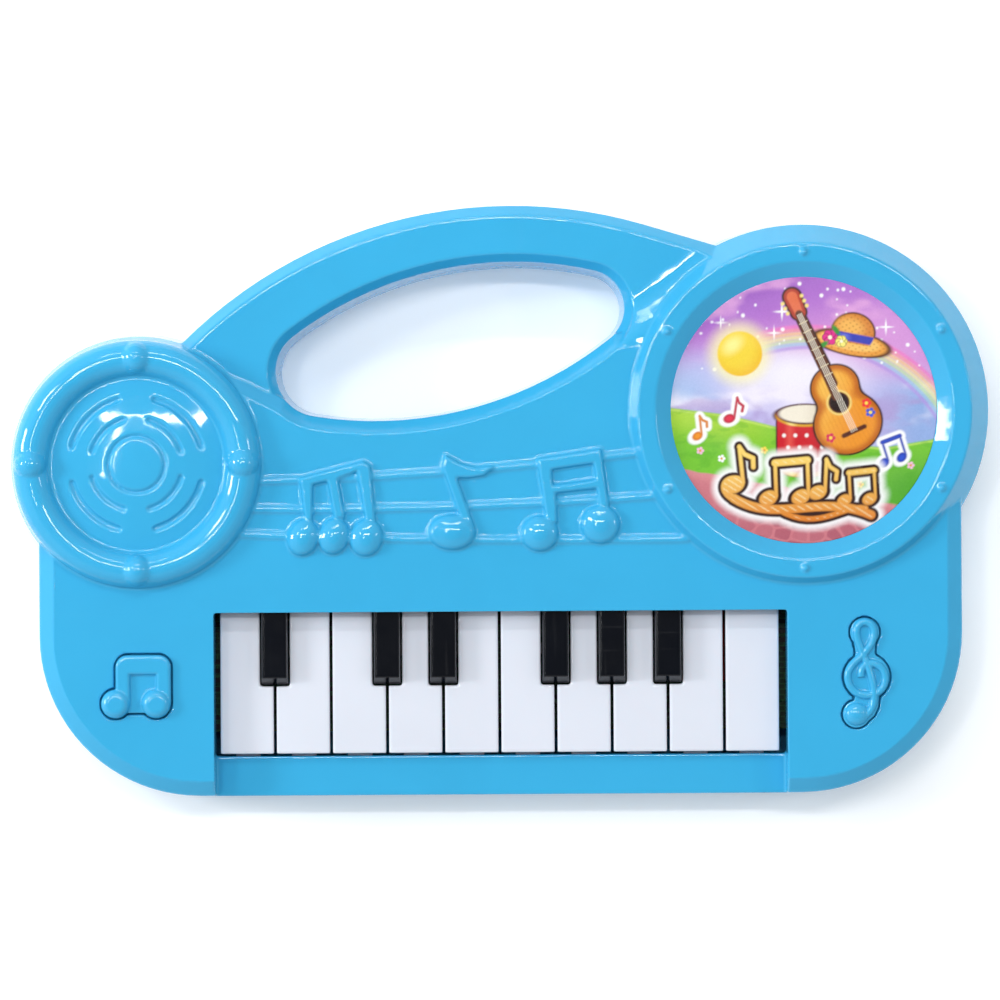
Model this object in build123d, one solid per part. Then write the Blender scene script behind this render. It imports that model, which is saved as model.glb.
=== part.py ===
"""Toy electronic keyboard: a light moulded case with a carrying handle, ten white and six black keys,
two shaped buttons, a round speaker drum on the left and a round picture medallion on the right.

Units are millimetres. +Z points up out of the keys, -Y is the player's side and +X is the player's right.
The origin is the centre of the outline, on the surface that the four feet stand on.
Every sub-part is written to parts/NAME.step in its own place.
"""

import os
from math import asin, atan2, cos, degrees, radians, sin

from build123d import *

# ---- Overall levels -------------------------------------------------------------------------------
WALL = 2.0  # wall of both case halves
FOOT_HEIGHT = 1.2
PLATE_TOP_Z = FOOT_HEIGHT + WALL  # inside floor of the rear cover
PARTING_Z = 8.0  # the two case halves meet here
LIP_TOP_Z = 10.0
LIP_GAP = 0.35
LIP_THICKNESS = 1.0
HANDLE_Z = 27.0  # flat top of the handle
FACE_Z = 30.0  # flat face round the keys
CEILING_Z = FACE_Z - WALL
STRIP_Z = 21.0  # sunk lip in front of the keys
STRIP_UNDER_Z = STRIP_Z - WALL
CLEAR_ABOVE = 12.0  # how far cutters reach past the face

# ---- Outline at the parting plane -----------------------------------------------------------------
SIDE_X = 124.3
FRONT_Y = -79.7
CORNER_R = 44.0
DRUM = (-96.4, 10.1)
DRUM_R = 35.3
MEDALLION = (80.9, 23.4)
MEDALLION_R = 50.8
HANDLE_ARC_CENTRE = (3.1, -45.9)
HANDLE_ARC_R = 125.6
HANDLE_ARC_START_X = -90.0
HANDLE_ARC_END_TILT = 16.7  # degrees that the arc has turned where its straight run begins
HANDLE_STRAIGHT = 28.0
HOLE_ENDS = [((-47.8, 34.5), 10.9), ((23.2, 51.1), 9.3)]  # the hand hole's two round ends: centre, radius
HOLE_SIDE_R = (97.0, 100.0)  # its back side and its front side

# ---- Side walls: (height, how far the outline has come in there) ----------------------------------
BODY_LEVELS = [(PARTING_Z, 0.0), (26.5, 1.3), (FACE_Z, 5.3)]
HANDLE_LEVELS = [(PARTING_Z, 0.0), (24.0, 1.1), (HANDLE_Z, 3.9), (FACE_Z, 4.9)]
BODY_HOLE_LEVELS = [(PARTING_Z, 0.0), (26.5, -1.1), (FACE_Z, -4.5), (FACE_Z + 1, -5.5)]
HANDLE_HOLE_LEVELS = [(PARTING_Z, 0.0), (24.0, -1.0), (HANDLE_Z, -3.2), (FACE_Z + 1, -4.6)]
BODY_CAVITY_LEVELS = [(PARTING_Z, 0.0), (25.7, 1.3), (CEILING_Z, 4.0)]
HANDLE_CAVITY_LEVELS = [(PARTING_Z, 0.0), (23.0, 1.1), (HANDLE_Z - WALL, 3.0)]
HOLE_WALL_LEVELS = [(PARTING_Z, 0.0), (24.0, -1.1), (CEILING_Z, -4.6)]

# ---- Rise from the handle to the face, at the handle's right root ---------------------------------
RISE_START = (31.5, 52.2)
RISE_LENGTH = 13.0
RISE_LINE_ANGLE = 35.5

# ---- Speaker drum and medallion, as (radius, height) profiles -------------------------------------
DRUM_RING_R = 28.2
DRUM_RING_HALF = 4.8
DRUM_RING_TOP_Z = 34.8
DOME_R = 23.4
DOME_EDGE_Z = 31.0
DOME_TOP_Z = 33.2
DOME_SPHERE_R = (DOME_R**2 + (DOME_TOP_Z - DOME_EDGE_Z) ** 2) / (2 * (DOME_TOP_Z - DOME_EDGE_Z))
BEAD_R = 4.3
BEAD_CENTRE_Z = 32.0
GROOVE_DEPTH = 0.8
GROOVE_CIRCLE = (7.5, 1.1)  # radius, width
GROOVE_ARCS = [(12.3, 1.3), (17.8, 1.6)]
GROOVE_SPAN = 58.0  # degrees of each of the four arcs
MEDALLION_TOP_Z = 33.0
MEDALLION_FLAT = (39.6, 44.4)
LABEL_R = 35.4
LABEL_THICKNESS = 0.25
STUD_RING_R = 42.0
STUD_R = 0.95

# ---- Keys -----------------------------------------------------------------------------------------
KEY_PITCH = 15.0
WHITE_COUNT = 10
KEY_FIELD_LEFT = -75.4
BLACK_AFTER = [1, 3, 4, 6, 7, 8]  # a black key stands right of each of these white keys
KEY_GAP = 0.8
WHITE_TOP_Z = 24.2
WHITE_SKIRT_Z = 20.2
WHITE_FRONT_Y = -67.4
BLACK_TOP_Z = 27.7
BLACK_FRONT_Y = -48.9
BLACK_WIDTH = 7.3
BLACK_CLEARANCE = 0.3
KEY_WALL = 1.2
KEY_BODY_REAR_Y = -27.0
KEY_EDGE_R = 0.4
HINGE = (-18.0, 20.5)  # y and z of the hinge pin
HINGE_PIN_R = 1.0
KNUCKLE_R = 2.4
KNUCKLE_WIDTH = 6.4
TAIL_TOP_Z = 23.4
TAB_WIDTH = 6.6
TAB_LENGTH = 2.6
PLUNGER_WIDTH = 3.0
WHITE_PLUNGER_Y = -55.0
BLACK_PLUNGER_Y = -40.0

# ---- Key opening ----------------------------------------------------------------------------------
OPENING_X = (-76.4, 76.2)
OPENING_REAR_Y = -29.6
OPENING_FRONT_Y = -68.2

# ---- Circuit board and what stands on it ----------------------------------------------------------
BOARD_TOP_Z = 12.0
BOARD_THICKNESS = 1.6
BOARD_SIZE = (212.0, 34.0)
BOARD_CENTRE_Y = -45.0
BOARD_POSTS = [(-82, -33), (82, -33), (-82, -57), (82, -57)]
PAD_TOP_Z = 16.4
PAD_GAP = 0.2

# ---- Buttons --------------------------------------------------------------------------------------
BUTTON_CLEARANCE = 0.45
BUTTON_FLANGE = 1.6
BUTTON_TOP_Z = FACE_Z + 0.3
NOTE_STEM = (-97.0, -48.0)
CLEF_STEM = (96.8, -46.6)

# ---- Fastening ------------------------------------------------------------------------------------
CASE_SCREWS = [
    (-114, -38), (114, -38), (-84, -71), (84, -71),
    (-38, 63.3), (28, 67.9), (-24, 4), (82, 62),
]
WELL_TOP_Z = 9.0
WELL_R = 4.3
SCREW_SHANK_R = 1.0
PILOT_R = 1.15
RAIL_SCREWS = [(-60, -12), (15, -12), (67, -12)]
FEET = [(-104, -52), (104, -52), (-102, 39), (98, 60)]
FOOT_R = 5.0

# ---- Battery compartment, under the medallion -----------------------------------------------------
CELL_X = (51.0, 106.3)
CELL_Y = (6.5, 37.5)
CELL_TOP_Z = 18.6
CELL_AXIS_Z = 10.9
CELL_R = 7.15
CELL_LENGTH = 49.0
CELL_NUB = (2.7, 1.4)  # radius, length
CELL_CENTRE_Y = (14.3, 29.7)
DOOR_MARGIN = 2.0
DOOR_GAP = 0.3
DOOR_SCREW = (111.5, 22.0)
DOOR_EAR_R = 5.0
DOOR_PILOT_R = 1.35
DOOR_TABS_Y = (14.0, 30.0)
TAB_SLOT = 7.0
DOOR_HINGE_Z = 1.2
DOOR_BARREL_R = 0.8

# ---- Speaker, facing down -------------------------------------------------------------------------
SPEAKER_R = 23.0
GRILLE_R = 18.0
SPEAKER_SCREW_RING_R = 26.6

WIRE_R = 0.6


# ---- Helpers --------------------------------------------------------------------------------------
def block(x, y, z):
    """A box from (low, high) pairs."""
    size = [pair[1] - pair[0] for pair in (x, y, z)]
    middle = [(pair[1] + pair[0]) / 2 for pair in (x, y, z)]
    return Pos(*middle) * Box(*size)


def post(point, radius, low, high):
    """An upright cylinder."""
    return Pos(point[0], point[1], (low + high) / 2) * Cylinder(radius, high - low)


def crosswise(y, z, radius, low, high):
    """A cylinder along X."""
    return Pos((low + high) / 2, y, z) * Rot(0, 90, 0) * Cylinder(radius, high - low)


def turned(profile, centre=(0, 0)):
    """A closed (radius, height) profile turned round an upright axis."""
    face = make_face(Plane.XZ * Polyline(*profile, close=True))
    return Pos(centre[0], centre[1], 0) * revolve(face, axis=Axis.Z)


def enclosed(*curves):
    """The face inside a loop of curves."""
    return make_face(Wire([edge for curve in curves for edge in curve.edges()]))


def stacked(sketch, levels):
    """A solid over a one-face sketch whose outline comes in, or goes out, as the levels say."""
    low, came_in = levels[0]
    face = Pos(0, 0, low) * sketch.faces()[0]
    solid = None
    for z, inset in levels[1:]:
        slope = degrees(atan2(inset - came_in, z - low))
        piece = extrude(face, amount=z - low, taper=slope)
        solid = piece if solid is None else solid + piece
        face = piece.faces().sort_by(Axis.Z)[-1]
        low, came_in = z, inset
    return solid


def upright(sketch, low, high):
    """A straight extrusion of a flat sketch between two heights."""
    return extrude(Pos(0, 0, low) * sketch, amount=high - low, dir=(0, 0, 1))


def area(*points):
    """A polygon's face."""
    return make_face(Polyline(*points, close=True))


def disc(centre, radius):
    return Pos(*centre) * Circle(radius)


def on_circle(centre, radius, angle):
    return (centre[0] + radius * cos(radians(angle)), centre[1] + radius * sin(radians(angle)))


def drum_circle(angle, radius):
    return on_circle(DRUM, radius, angle)


# ---- Outlines -------------------------------------------------------------------------------------
def body_outline():
    """The face's region: straight sides, two round front corners, and at the back the edge of its step down to
    the handle on the left and of the rise on the right."""
    corner_y = FRONT_Y + CORNER_R
    corner_x = SIDE_X - CORNER_R
    return enclosed(
        CenterArc((-corner_x, corner_y), CORNER_R, 180, 90),
        Line((-corner_x, FRONT_Y), (corner_x, FRONT_Y)),
        CenterArc((corner_x, corner_y), CORNER_R, 270, 90),
        Polyline(
            (SIDE_X, corner_y), (SIDE_X, 5), (110, 40), (60, 63), (36, 46), (-40, 38),
            (-56, 28), (-66.3, 33.4), (-76.5, 37.2), (-100, 12), (-SIDE_X, 5), (-SIDE_X, corner_y),
        ),
    )


def handle_outline():
    """The handle's region. Its lower part lies inside the body's."""
    start_y = HANDLE_ARC_CENTRE[1] + (HANDLE_ARC_R**2 - (HANDLE_ARC_START_X - HANDLE_ARC_CENTRE[0]) ** 2) ** 0.5
    top = (HANDLE_ARC_CENTRE[0], HANDLE_ARC_CENTRE[1] + HANDLE_ARC_R)
    bend = on_circle(HANDLE_ARC_CENTRE, HANDLE_ARC_R, 90 - HANDLE_ARC_END_TILT)
    far = (
        bend[0] + HANDLE_STRAIGHT * cos(radians(HANDLE_ARC_END_TILT)),
        bend[1] - HANDLE_STRAIGHT * sin(radians(HANDLE_ARC_END_TILT)),
    )
    return enclosed(
        ThreePointArc(bend, top, (HANDLE_ARC_START_X, start_y)),
        Polyline((HANDLE_ARC_START_X, start_y), (HANDLE_ARC_START_X, 10), (-70, 10), (70, 20), far, bend),
    )


def hand_hole(grow=0.0):
    """A leaning oval: two round ends and two long sides, each running smoothly into the next."""
    (left, left_r), (right, right_r) = [(Vector(*centre), radius) for centre, radius in HOLE_ENDS]
    length = (right - left).length
    along = (right - left) / length
    across = Vector(-along.Y, along.X)
    edges = []
    for side_r, sign in zip(HOLE_SIDE_R, (-1, 1)):
        to_left, to_right = side_r - left_r, side_r - right_r
        reach = (to_left**2 - to_right**2 + length**2) / (2 * length)
        centre = left + along * reach + across * sign * (to_left**2 - reach**2) ** 0.5
        start = left + (left - centre).normalized() * (left_r + grow)
        end = right + (right - centre).normalized() * (right_r + grow)
        middle = centre + ((start - centre) + (end - centre)).normalized() * (side_r + grow)
        edges.append(ThreePointArc(start, middle, end))
    back, front = edges
    right_end = ThreePointArc(back @ 1, right + along * (right_r + grow), front @ 1)
    left_end = ThreePointArc(front @ 0, left - along * (left_r + grow), back @ 0)
    return enclosed(back, right_end, front, left_end)


def outlines():
    """The four regions that make up the whole outline."""
    return [body_outline(), handle_outline(), disc(DRUM, DRUM_R), disc(MEDALLION, MEDALLION_R)]


def whole_outline():
    """The outline of both halves where they meet, without the hand hole."""
    body, *others = outlines()
    return body + others


# ---- Front shell ----------------------------------------------------------------------------------
def rise_cutter():
    """Takes the handle's top down to its own level and leaves an S-shaped rise to the face at its right root."""
    angle = radians(RISE_LINE_ANGLE)
    plane = Plane(
        origin=(*RISE_START, 0),
        x_dir=(sin(angle), -cos(angle), 0),
        z_dir=(-cos(angle), -sin(angle), 0),
    )
    far = 200
    rise = Spline(
        (0, HANDLE_Z), (RISE_LENGTH / 2, (HANDLE_Z + FACE_Z) / 2), (RISE_LENGTH, FACE_Z),
        tangents=((1, 0), (1, 0)),
    )
    rest = Polyline(
        (RISE_LENGTH, FACE_Z), (RISE_LENGTH, FACE_Z + CLEAR_ABOVE),
        (-far, FACE_Z + CLEAR_ABOVE), (-far, HANDLE_Z), (0, HANDLE_Z),
    )
    return extrude(plane * enclosed(rise, rest), amount=far, both=True)


def drum_outside():
    """The drum: a slightly tapered wall, a rounded ring round its top and a shallow dome inside the ring."""
    shoulder = (DRUM_RING_R + DRUM_RING_HALF, FACE_Z - 0.6)
    dome_angle = degrees(asin(DOME_R / DOME_SPHERE_R))
    profile = enclosed(
        ThreePointArc(shoulder, (DRUM_RING_R, DRUM_RING_TOP_Z), (DOME_R, DOME_EDGE_Z)),
        CenterArc((0, DOME_TOP_Z - DOME_SPHERE_R), DOME_SPHERE_R, 90 - dome_angle, dome_angle),
        Polyline((0, DOME_TOP_Z), (0, PARTING_Z), (DRUM_R, PARTING_Z), (34.2, 24), shoulder),
    )
    return Pos(*DRUM) * revolve(Plane.XZ * profile, axis=Axis.Z)


def dome_z(radius):
    """Height of the drum's domed plate at a radius."""
    return DOME_TOP_Z - DOME_SPHERE_R + (DOME_SPHERE_R**2 - radius**2) ** 0.5


def drum_cavity():
    return turned(
        [(0, PARTING_Z), (33.3, PARTING_Z), (32.2, 24), (31.0, 30), (29.8, 32.2), (26.6, 32.2), (25.0, 29.2),
         (21.5, 29.0), (12, 30.5), (0, 31.1)],
        DRUM,
    )


def drum_grooves():
    """The blind circle and the two rows of four arcs sunk in the dome."""
    cutters = []
    for radius, width in [GROOVE_CIRCLE, *GROOVE_ARCS]:
        floor = dome_z(radius) - GROOVE_DEPTH
        ring = Circle(radius + width / 2) - Circle(radius - width / 2)
        if (radius, width) == GROOVE_CIRCLE:
            cutters.append(upright(ring, floor, DRUM_RING_TOP_Z))
            continue
        for quarter in range(4):
            middle = 45 + 90 * quarter
            ends = [on_circle((0, 0), radius, middle + side * GROOVE_SPAN / 2) for side in (-1, 1)]
            reach = 2 * radius
            wedge = area(
                (0, 0),
                *[on_circle((0, 0), reach, middle + share * GROOVE_SPAN / 2) for share in (-1, 0, 1)],
            )
            arc = (ring & wedge) + [disc(end, width / 2) for end in ends]
            cutters.append(upright(arc, floor, DRUM_RING_TOP_Z))
    return [Pos(*DRUM) * cutter for cutter in cutters]


def medallion_outside():
    low, high = MEDALLION_FLAT
    return turned(
        [(0, PARTING_Z), (MEDALLION_R, PARTING_Z), (49.7, 24), (high, MEDALLION_TOP_Z), (low, MEDALLION_TOP_Z),
         (LABEL_R + 0.3, FACE_Z + 0.4), (LABEL_R + 0.3, FACE_Z), (0, FACE_Z)],
        MEDALLION,
    )


def medallion_cavity():
    return turned(
        [(0, PARTING_Z), (48.8, PARTING_Z), (47.7, 23.4), (43.4, 30.8), (40.8, 30.8), (38.0, CEILING_Z),
         (0, CEILING_Z)],
        MEDALLION,
    )


def face_lines():
    """Three thin raised staff lines that run from the drum to the medallion."""
    width, height = 1.5, 0.6
    curves = [
        [(-64.8, 5.3), (-15.4, 7.4), (37.0, 12.2)],
        [(-66.5, -2.1), (-11.8, -1.8), (41.6, 0.8)],
        [(-70.3, -8.7), (-19.0, -10.4), (50.0, -10.6)],
    ]
    return [upright(trace(ThreePointArc(*curve), line_width=width), FACE_Z - 0.3, FACE_Z + height) for curve in curves]


def note_stems():
    """The stems and beams of the three raised notes."""
    triplet = area(
        (-53.2, 6.2), (-36.2, 10.5), (-34.4, 9.4), (-33.1, -5.3), (-35.7, -5.3), (-37.9, 7.8), (-43.0, 5.9),
        (-41.2, -4.5), (-44.0, -4.5), (-45.8, 5.3), (-49.7, 4.4), (-49.9, -5.2), (-51.8, -5.2),
    )
    quaver = area(
        (-14.6, 12.1), (-10.1, 9.6), (-5.9, 8.6), (-1.8, 9.2), (-1.9, 8.3), (-4.2, 6.5), (-8.0, 5.9), (-11.4, 6.0),
        (-6.9, -6.8), (-9.2, -6.9), (-11.1, -3.2), (-15.4, 9.2),
    )
    pair = area(
        (9.9, 10.9), (26.9, 13.4), (29.0, -1.9), (26.5, -2.0), (25.8, 2.9), (14.8, 1.8), (15.3, -6.1), (12.4, -6.2),
    ) - area((13.8, 8.0), (25.0, 9.6), (25.5, 5.3), (14.1, 3.8))
    solids = [upright(shape, FACE_Z - 0.3, FACE_Z + 1.6) for shape in (triplet, quaver, pair)]
    return [chamfer(solid.edges().group_by(Axis.Z)[-1], 0.5) for solid in solids]


def note_heads():
    """The pillow-shaped heads of the raised notes: centre, radii and lean."""
    heads = [
        ((-52.4, -9.7), (4.2, 4.9), -20), ((-44.2, -9.4), (4.1, 4.9), -20), ((-35.6, -9.8), (4.4, 5.0), -20),
        ((-12.8, -8.5), (6.3, 4.7), 0), ((10.5, -9.0), (5.0, 4.7), 0), ((26.6, -6.7), (5.2, 5.1), 0),
    ]
    solids = []
    for centre, radii, lean in heads:
        pillow = upright(Ellipse(*radii), FACE_Z - 0.3, FACE_Z + 2.4)
        pillow = fillet(pillow.edges().sort_by(Axis.Z)[-1], 2.1)
        solids.append(Pos(*centre) * Rot(0, 0, lean) * pillow)
    return solids


def case_posts(outside):
    """Screw posts that hang from the shell's inside: for the rear cover, the circuit board and the hinge rail."""
    wanted = [(point, 3.4, WELL_TOP_Z) for point in CASE_SCREWS]
    wanted += [(point, 3.0, BOARD_TOP_Z) for point in BOARD_POSTS]
    wanted += [(point, 2.8, 24.0) for point in RAIL_SCREWS]
    posts = [post(point, radius, low, FACE_Z) & outside for point, radius, low in wanted]
    pilots = [post(point, PILOT_R, low - 1, min(low + 12, HANDLE_Z - 0.8)) for point, _, low in wanted]
    return posts, pilots


def front_shell():
    hole = hand_hole()
    body = stacked(body_outline(), BODY_LEVELS) - stacked(hole, BODY_HOLE_LEVELS)
    handle = stacked(handle_outline(), HANDLE_LEVELS) - rise_cutter() - stacked(hole, HANDLE_HOLE_LEVELS)
    outside = body + handle + drum_outside() + medallion_outside()

    cavity = (
        stacked(offset(body_outline(), -WALL), BODY_CAVITY_LEVELS)
        + stacked(offset(handle_outline(), -WALL), HANDLE_CAVITY_LEVELS)
        + drum_cavity()
        + medallion_cavity()
    ) - stacked(hand_hole(WALL), HOLE_WALL_LEVELS)
    shell = outside - cavity

    posts, pilots = case_posts(outside)
    far_front = FRONT_Y - 10
    cheeks = [
        block((OPENING_X[0] - WALL, OPENING_X[0]), (far_front, OPENING_REAR_Y), (STRIP_UNDER_Z, CEILING_Z + 1)),
        block((OPENING_X[1], OPENING_X[1] + WALL), (far_front, OPENING_REAR_Y), (STRIP_UNDER_Z, CEILING_Z + 1)),
    ]
    strip = block(OPENING_X, (far_front, OPENING_FRONT_Y), (STRIP_UNDER_Z, STRIP_Z + 1))
    shell = shell + [piece & outside for piece in (*cheeks, strip)] + posts
    shell = shell - block(OPENING_X, (far_front, OPENING_FRONT_Y), (STRIP_Z, FACE_Z + CLEAR_ABOVE))
    shell = shell - block(OPENING_X, (OPENING_FRONT_Y, OPENING_REAR_Y), (STRIP_UNDER_Z - 1, FACE_Z + CLEAR_ABOVE))

    shell = shell + face_lines() + note_stems() + note_heads()
    shell = shell + [Pos(*drum_circle(angle, DRUM_RING_R), BEAD_CENTRE_Z) * Sphere(BEAD_R) for angle in (0, 90, 180, 270)]
    shell = shell + [
        Pos(*on_circle(MEDALLION, STUD_RING_R, 30 + 60 * n), MEDALLION_TOP_Z) * Sphere(STUD_R) for n in range(6)
    ]
    shell = shell - drum_grooves() - pilots
    for outline in (note_button_outline(), clef_button_outline()):
        shell = shell - upright(offset(outline, BUTTON_CLEARANCE), CEILING_Z - 1, FACE_Z + 1)
    return shell


# ---- Rear cover and battery door ------------------------------------------------------------------
def downward(sketch, levels):
    """Like stacked, but the levels are depths below the parting plane."""
    return Pos(0, 0, PARTING_Z) * mirror(stacked(sketch, levels), about=Plane.XY)


def door_outline(grow=0.0):
    """The battery door: a rectangle with a round ear for its screw."""
    low_x, high_x = CELL_X[0] - DOOR_MARGIN, CELL_X[1] + DOOR_MARGIN
    low_y, high_y = CELL_Y[0] - DOOR_MARGIN, CELL_Y[1] + DOOR_MARGIN
    plate = area((low_x, low_y), (high_x, low_y), (high_x, high_y), (low_x, high_y))
    outline = plate + disc(DOOR_SCREW, DOOR_EAR_R)
    return offset(outline, grow) if grow else outline


def tray(inset, levels):
    """The case's outline, less the hand hole, carried down from the parting plane."""
    body, *others = [downward(offset(outline, -inset) if inset else outline, levels) for outline in outlines()]
    return body + others - downward(hand_hole(inset), [(depth, -came_in) for depth, came_in in levels])


def rear_cover():
    depth = PARTING_Z - FOOT_HEIGHT
    cover = tray(0, [(0, 0), (depth - 1.5, 0.5), (depth, 2.0)]) - tray(WALL, [(0, 0), (depth - WALL, 0.4)])

    outline = whole_outline()
    outer, inner = WALL + LIP_GAP, WALL + LIP_GAP + LIP_THICKNESS
    for low, high, start in ((PLATE_TOP_Z - 0.2, PARTING_Z - 0.1, WALL - 0.2), (PARTING_Z - 0.2, LIP_TOP_Z, outer)):
        cover = cover + upright(offset(outline, -start) - offset(outline, -inner), low, high)
        cover = cover + upright(hand_hole(inner) - hand_hole(start), low, high)
    cover = cover - block((-88, -82), (38, 44), (PARTING_Z - 0.1, LIP_TOP_Z + 1))

    cover = cover + [post(point, WELL_R, FOOT_HEIGHT + 0.5, WELL_TOP_Z) for point in CASE_SCREWS]
    cover = cover - [post(point, 3.1, 0, 7.0) for point in CASE_SCREWS]
    cover = cover - [post(point, 1.5, 0, WELL_TOP_Z + 1) for point in CASE_SCREWS]
    cover = cover + [post(point, FOOT_R, 0, FOOT_HEIGHT + 0.5) for point in FEET]
    cover = cover + battery_box() - battery_box_space()
    cover = cover + speaker_seat() - speaker_slots()
    return cover


def battery_box():
    """The compartment's walls and ceiling, the ledge that its door closes on and the post for the door's screw."""
    wall = 1.6
    box = block(
        (CELL_X[0] - wall, CELL_X[1] + wall), (CELL_Y[0] - wall, CELL_Y[1] + wall),
        (PLATE_TOP_Z - 0.5, CELL_TOP_Z + wall),
    )
    ledge = upright(door_outline(grow=2.0), PLATE_TOP_Z - 0.5, PLATE_TOP_Z + 1.6)
    return box + ledge + post(DOOR_SCREW, 3.4, PLATE_TOP_Z, 14)


def battery_box_space():
    """What is open in the compartment: the cells' room, the door's recess, the tabs' slots and the wire holes."""
    room = block(CELL_X, CELL_Y, (0, CELL_TOP_Z))
    recess = upright(door_outline(grow=DOOR_GAP), 0, PLATE_TOP_Z)
    slots = [
        block((CELL_X[0] - DOOR_MARGIN - 3.2, CELL_X[0] + 1), (y - TAB_SLOT / 2, y + TAB_SLOT / 2),
              (PLATE_TOP_Z, PLATE_TOP_Z + 1.7))
        for y in DOOR_TABS_Y
    ]
    edge_x = CELL_X[0] - DOOR_MARGIN
    slots += [
        block((edge_x - 1.3, edge_x), (y - TAB_SLOT / 2, y + TAB_SLOT / 2), (0, PLATE_TOP_Z + 0.1)) for y in DOOR_TABS_Y
    ]
    wire_holes = [crosswise(y, 14, 0.8, CELL_X[0] - 3, CELL_X[0] + 1) for y in CELL_CENTRE_Y]
    return room + recess + slots + wire_holes + post(DOOR_SCREW, DOOR_PILOT_R, 0, 12)


def battery_door():
    """The door: two tabs under the cover's edge, a short hinge barrel at each, and one countersunk screw hole."""
    plate = upright(door_outline(), FOOT_HEIGHT, PLATE_TOP_Z)
    edge_x = CELL_X[0] - DOOR_MARGIN
    tabs = [
        block((edge_x - 1.2, edge_x + 3), (y - 3, y + 3), (PLATE_TOP_Z + 0.1, PLATE_TOP_Z + 1.1))
        + block((edge_x, edge_x + 3), (y - 3, y + 3), (PLATE_TOP_Z - 0.5, PLATE_TOP_Z + 1.1))
        for y in DOOR_TABS_Y
    ]
    ribs = [
        block((x, x + 18), (FOOT_Y - 0.6, FOOT_Y + 0.6), (FOOT_HEIGHT - 0.4, FOOT_HEIGHT + 0.5))
        for x in (70,) for FOOT_Y in (16, 19, 22, 25, 28)
    ]
    barrels = [Pos(edge_x, y, DOOR_HINGE_Z) * Rot(90, 0, 0) * Cylinder(DOOR_BARREL_R, 6) for y in DOOR_TABS_Y]
    door = plate + tabs + ribs + barrels
    door = door - post(DOOR_SCREW, 1.5, 0, 5) - post(DOOR_SCREW, 2.9, 0, FOOT_HEIGHT + 0.9)
    return door


# ---- Keys -----------------------------------------------------------------------------------------
def white_centre_x(number):
    return KEY_FIELD_LEFT + KEY_PITCH * (number - 0.5)


def black_centre_x(white_number):
    return KEY_FIELD_LEFT + KEY_PITCH * white_number


def knuckle(top_of_tail, tail_from_y):
    """A key's tail and the knuckle that turns on the hinge pin, at x = 0."""
    y, z = HINGE
    half = KNUCKLE_WIDTH / 2
    tail = block((-half, half), (tail_from_y, y), (z - KNUCKLE_R + 0.4, top_of_tail))
    tail = tail - block((-half, half), (y - 0.5, y + 5), (z + KNUCKLE_R - 0.1, z + 10))
    return tail + crosswise(y, z, KNUCKLE_R, -half, half)


def plunger(y, high):
    """The cross-shaped post that presses a rubber pad."""
    half, rib = PLUNGER_WIDTH / 2, 0.5
    low = PAD_TOP_Z + PAD_GAP
    return block((-half, half), (y - rib, y + rib), (low, high)) + block((-rib, rib), (y - half, y + half), (low, high))


def white_key(number):
    """A hollow white key, notched for the black keys beside it, with a tab that holds it under the strip."""
    half = (KEY_PITCH - KEY_GAP) / 2
    notch_x = KEY_PITCH / 2 - BLACK_WIDTH / 2 - BLACK_CLEARANCE
    notch_y = BLACK_FRONT_Y - 0.5
    outline = area((-half, WHITE_FRONT_Y), (half, WHITE_FRONT_Y), (half, KEY_BODY_REAR_Y), (-half, KEY_BODY_REAR_Y))
    if number in BLACK_AFTER:
        outline = outline - area((notch_x, notch_y), (half + 1, notch_y), (half + 1, 0), (notch_x, 0))
    if number - 1 in BLACK_AFTER:
        outline = outline - area((-notch_x, notch_y), (-half - 1, notch_y), (-half - 1, 0), (-notch_x, 0))
    key = upright(outline, WHITE_SKIRT_Z, WHITE_TOP_Z)
    key = fillet(key.edges().group_by(Axis.Z)[-1], KEY_EDGE_R)
    key = key - upright(offset(outline, -KEY_WALL, kind=Kind.INTERSECTION), WHITE_SKIRT_Z - 1, WHITE_TOP_Z - KEY_WALL)
    tab_half = TAB_WIDTH / 2
    tab_z = (STRIP_UNDER_Z - 1.6, STRIP_UNDER_Z - 0.2)
    key = key + block((-tab_half, tab_half), (WHITE_FRONT_Y, WHITE_FRONT_Y + KEY_WALL), (tab_z[0], WHITE_SKIRT_Z + 1))
    key = key + block((-tab_half, tab_half), (WHITE_FRONT_Y - TAB_LENGTH, WHITE_FRONT_Y + KEY_WALL), tab_z)
    key = key + plunger(WHITE_PLUNGER_Y, WHITE_TOP_Z - 1) + knuckle(TAIL_TOP_Z, KEY_BODY_REAR_Y - KEY_WALL)
    key = key - crosswise(*HINGE, HINGE_PIN_R + 0.05, -half, half)
    return Pos(white_centre_x(number), 0, 0) * key


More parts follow.
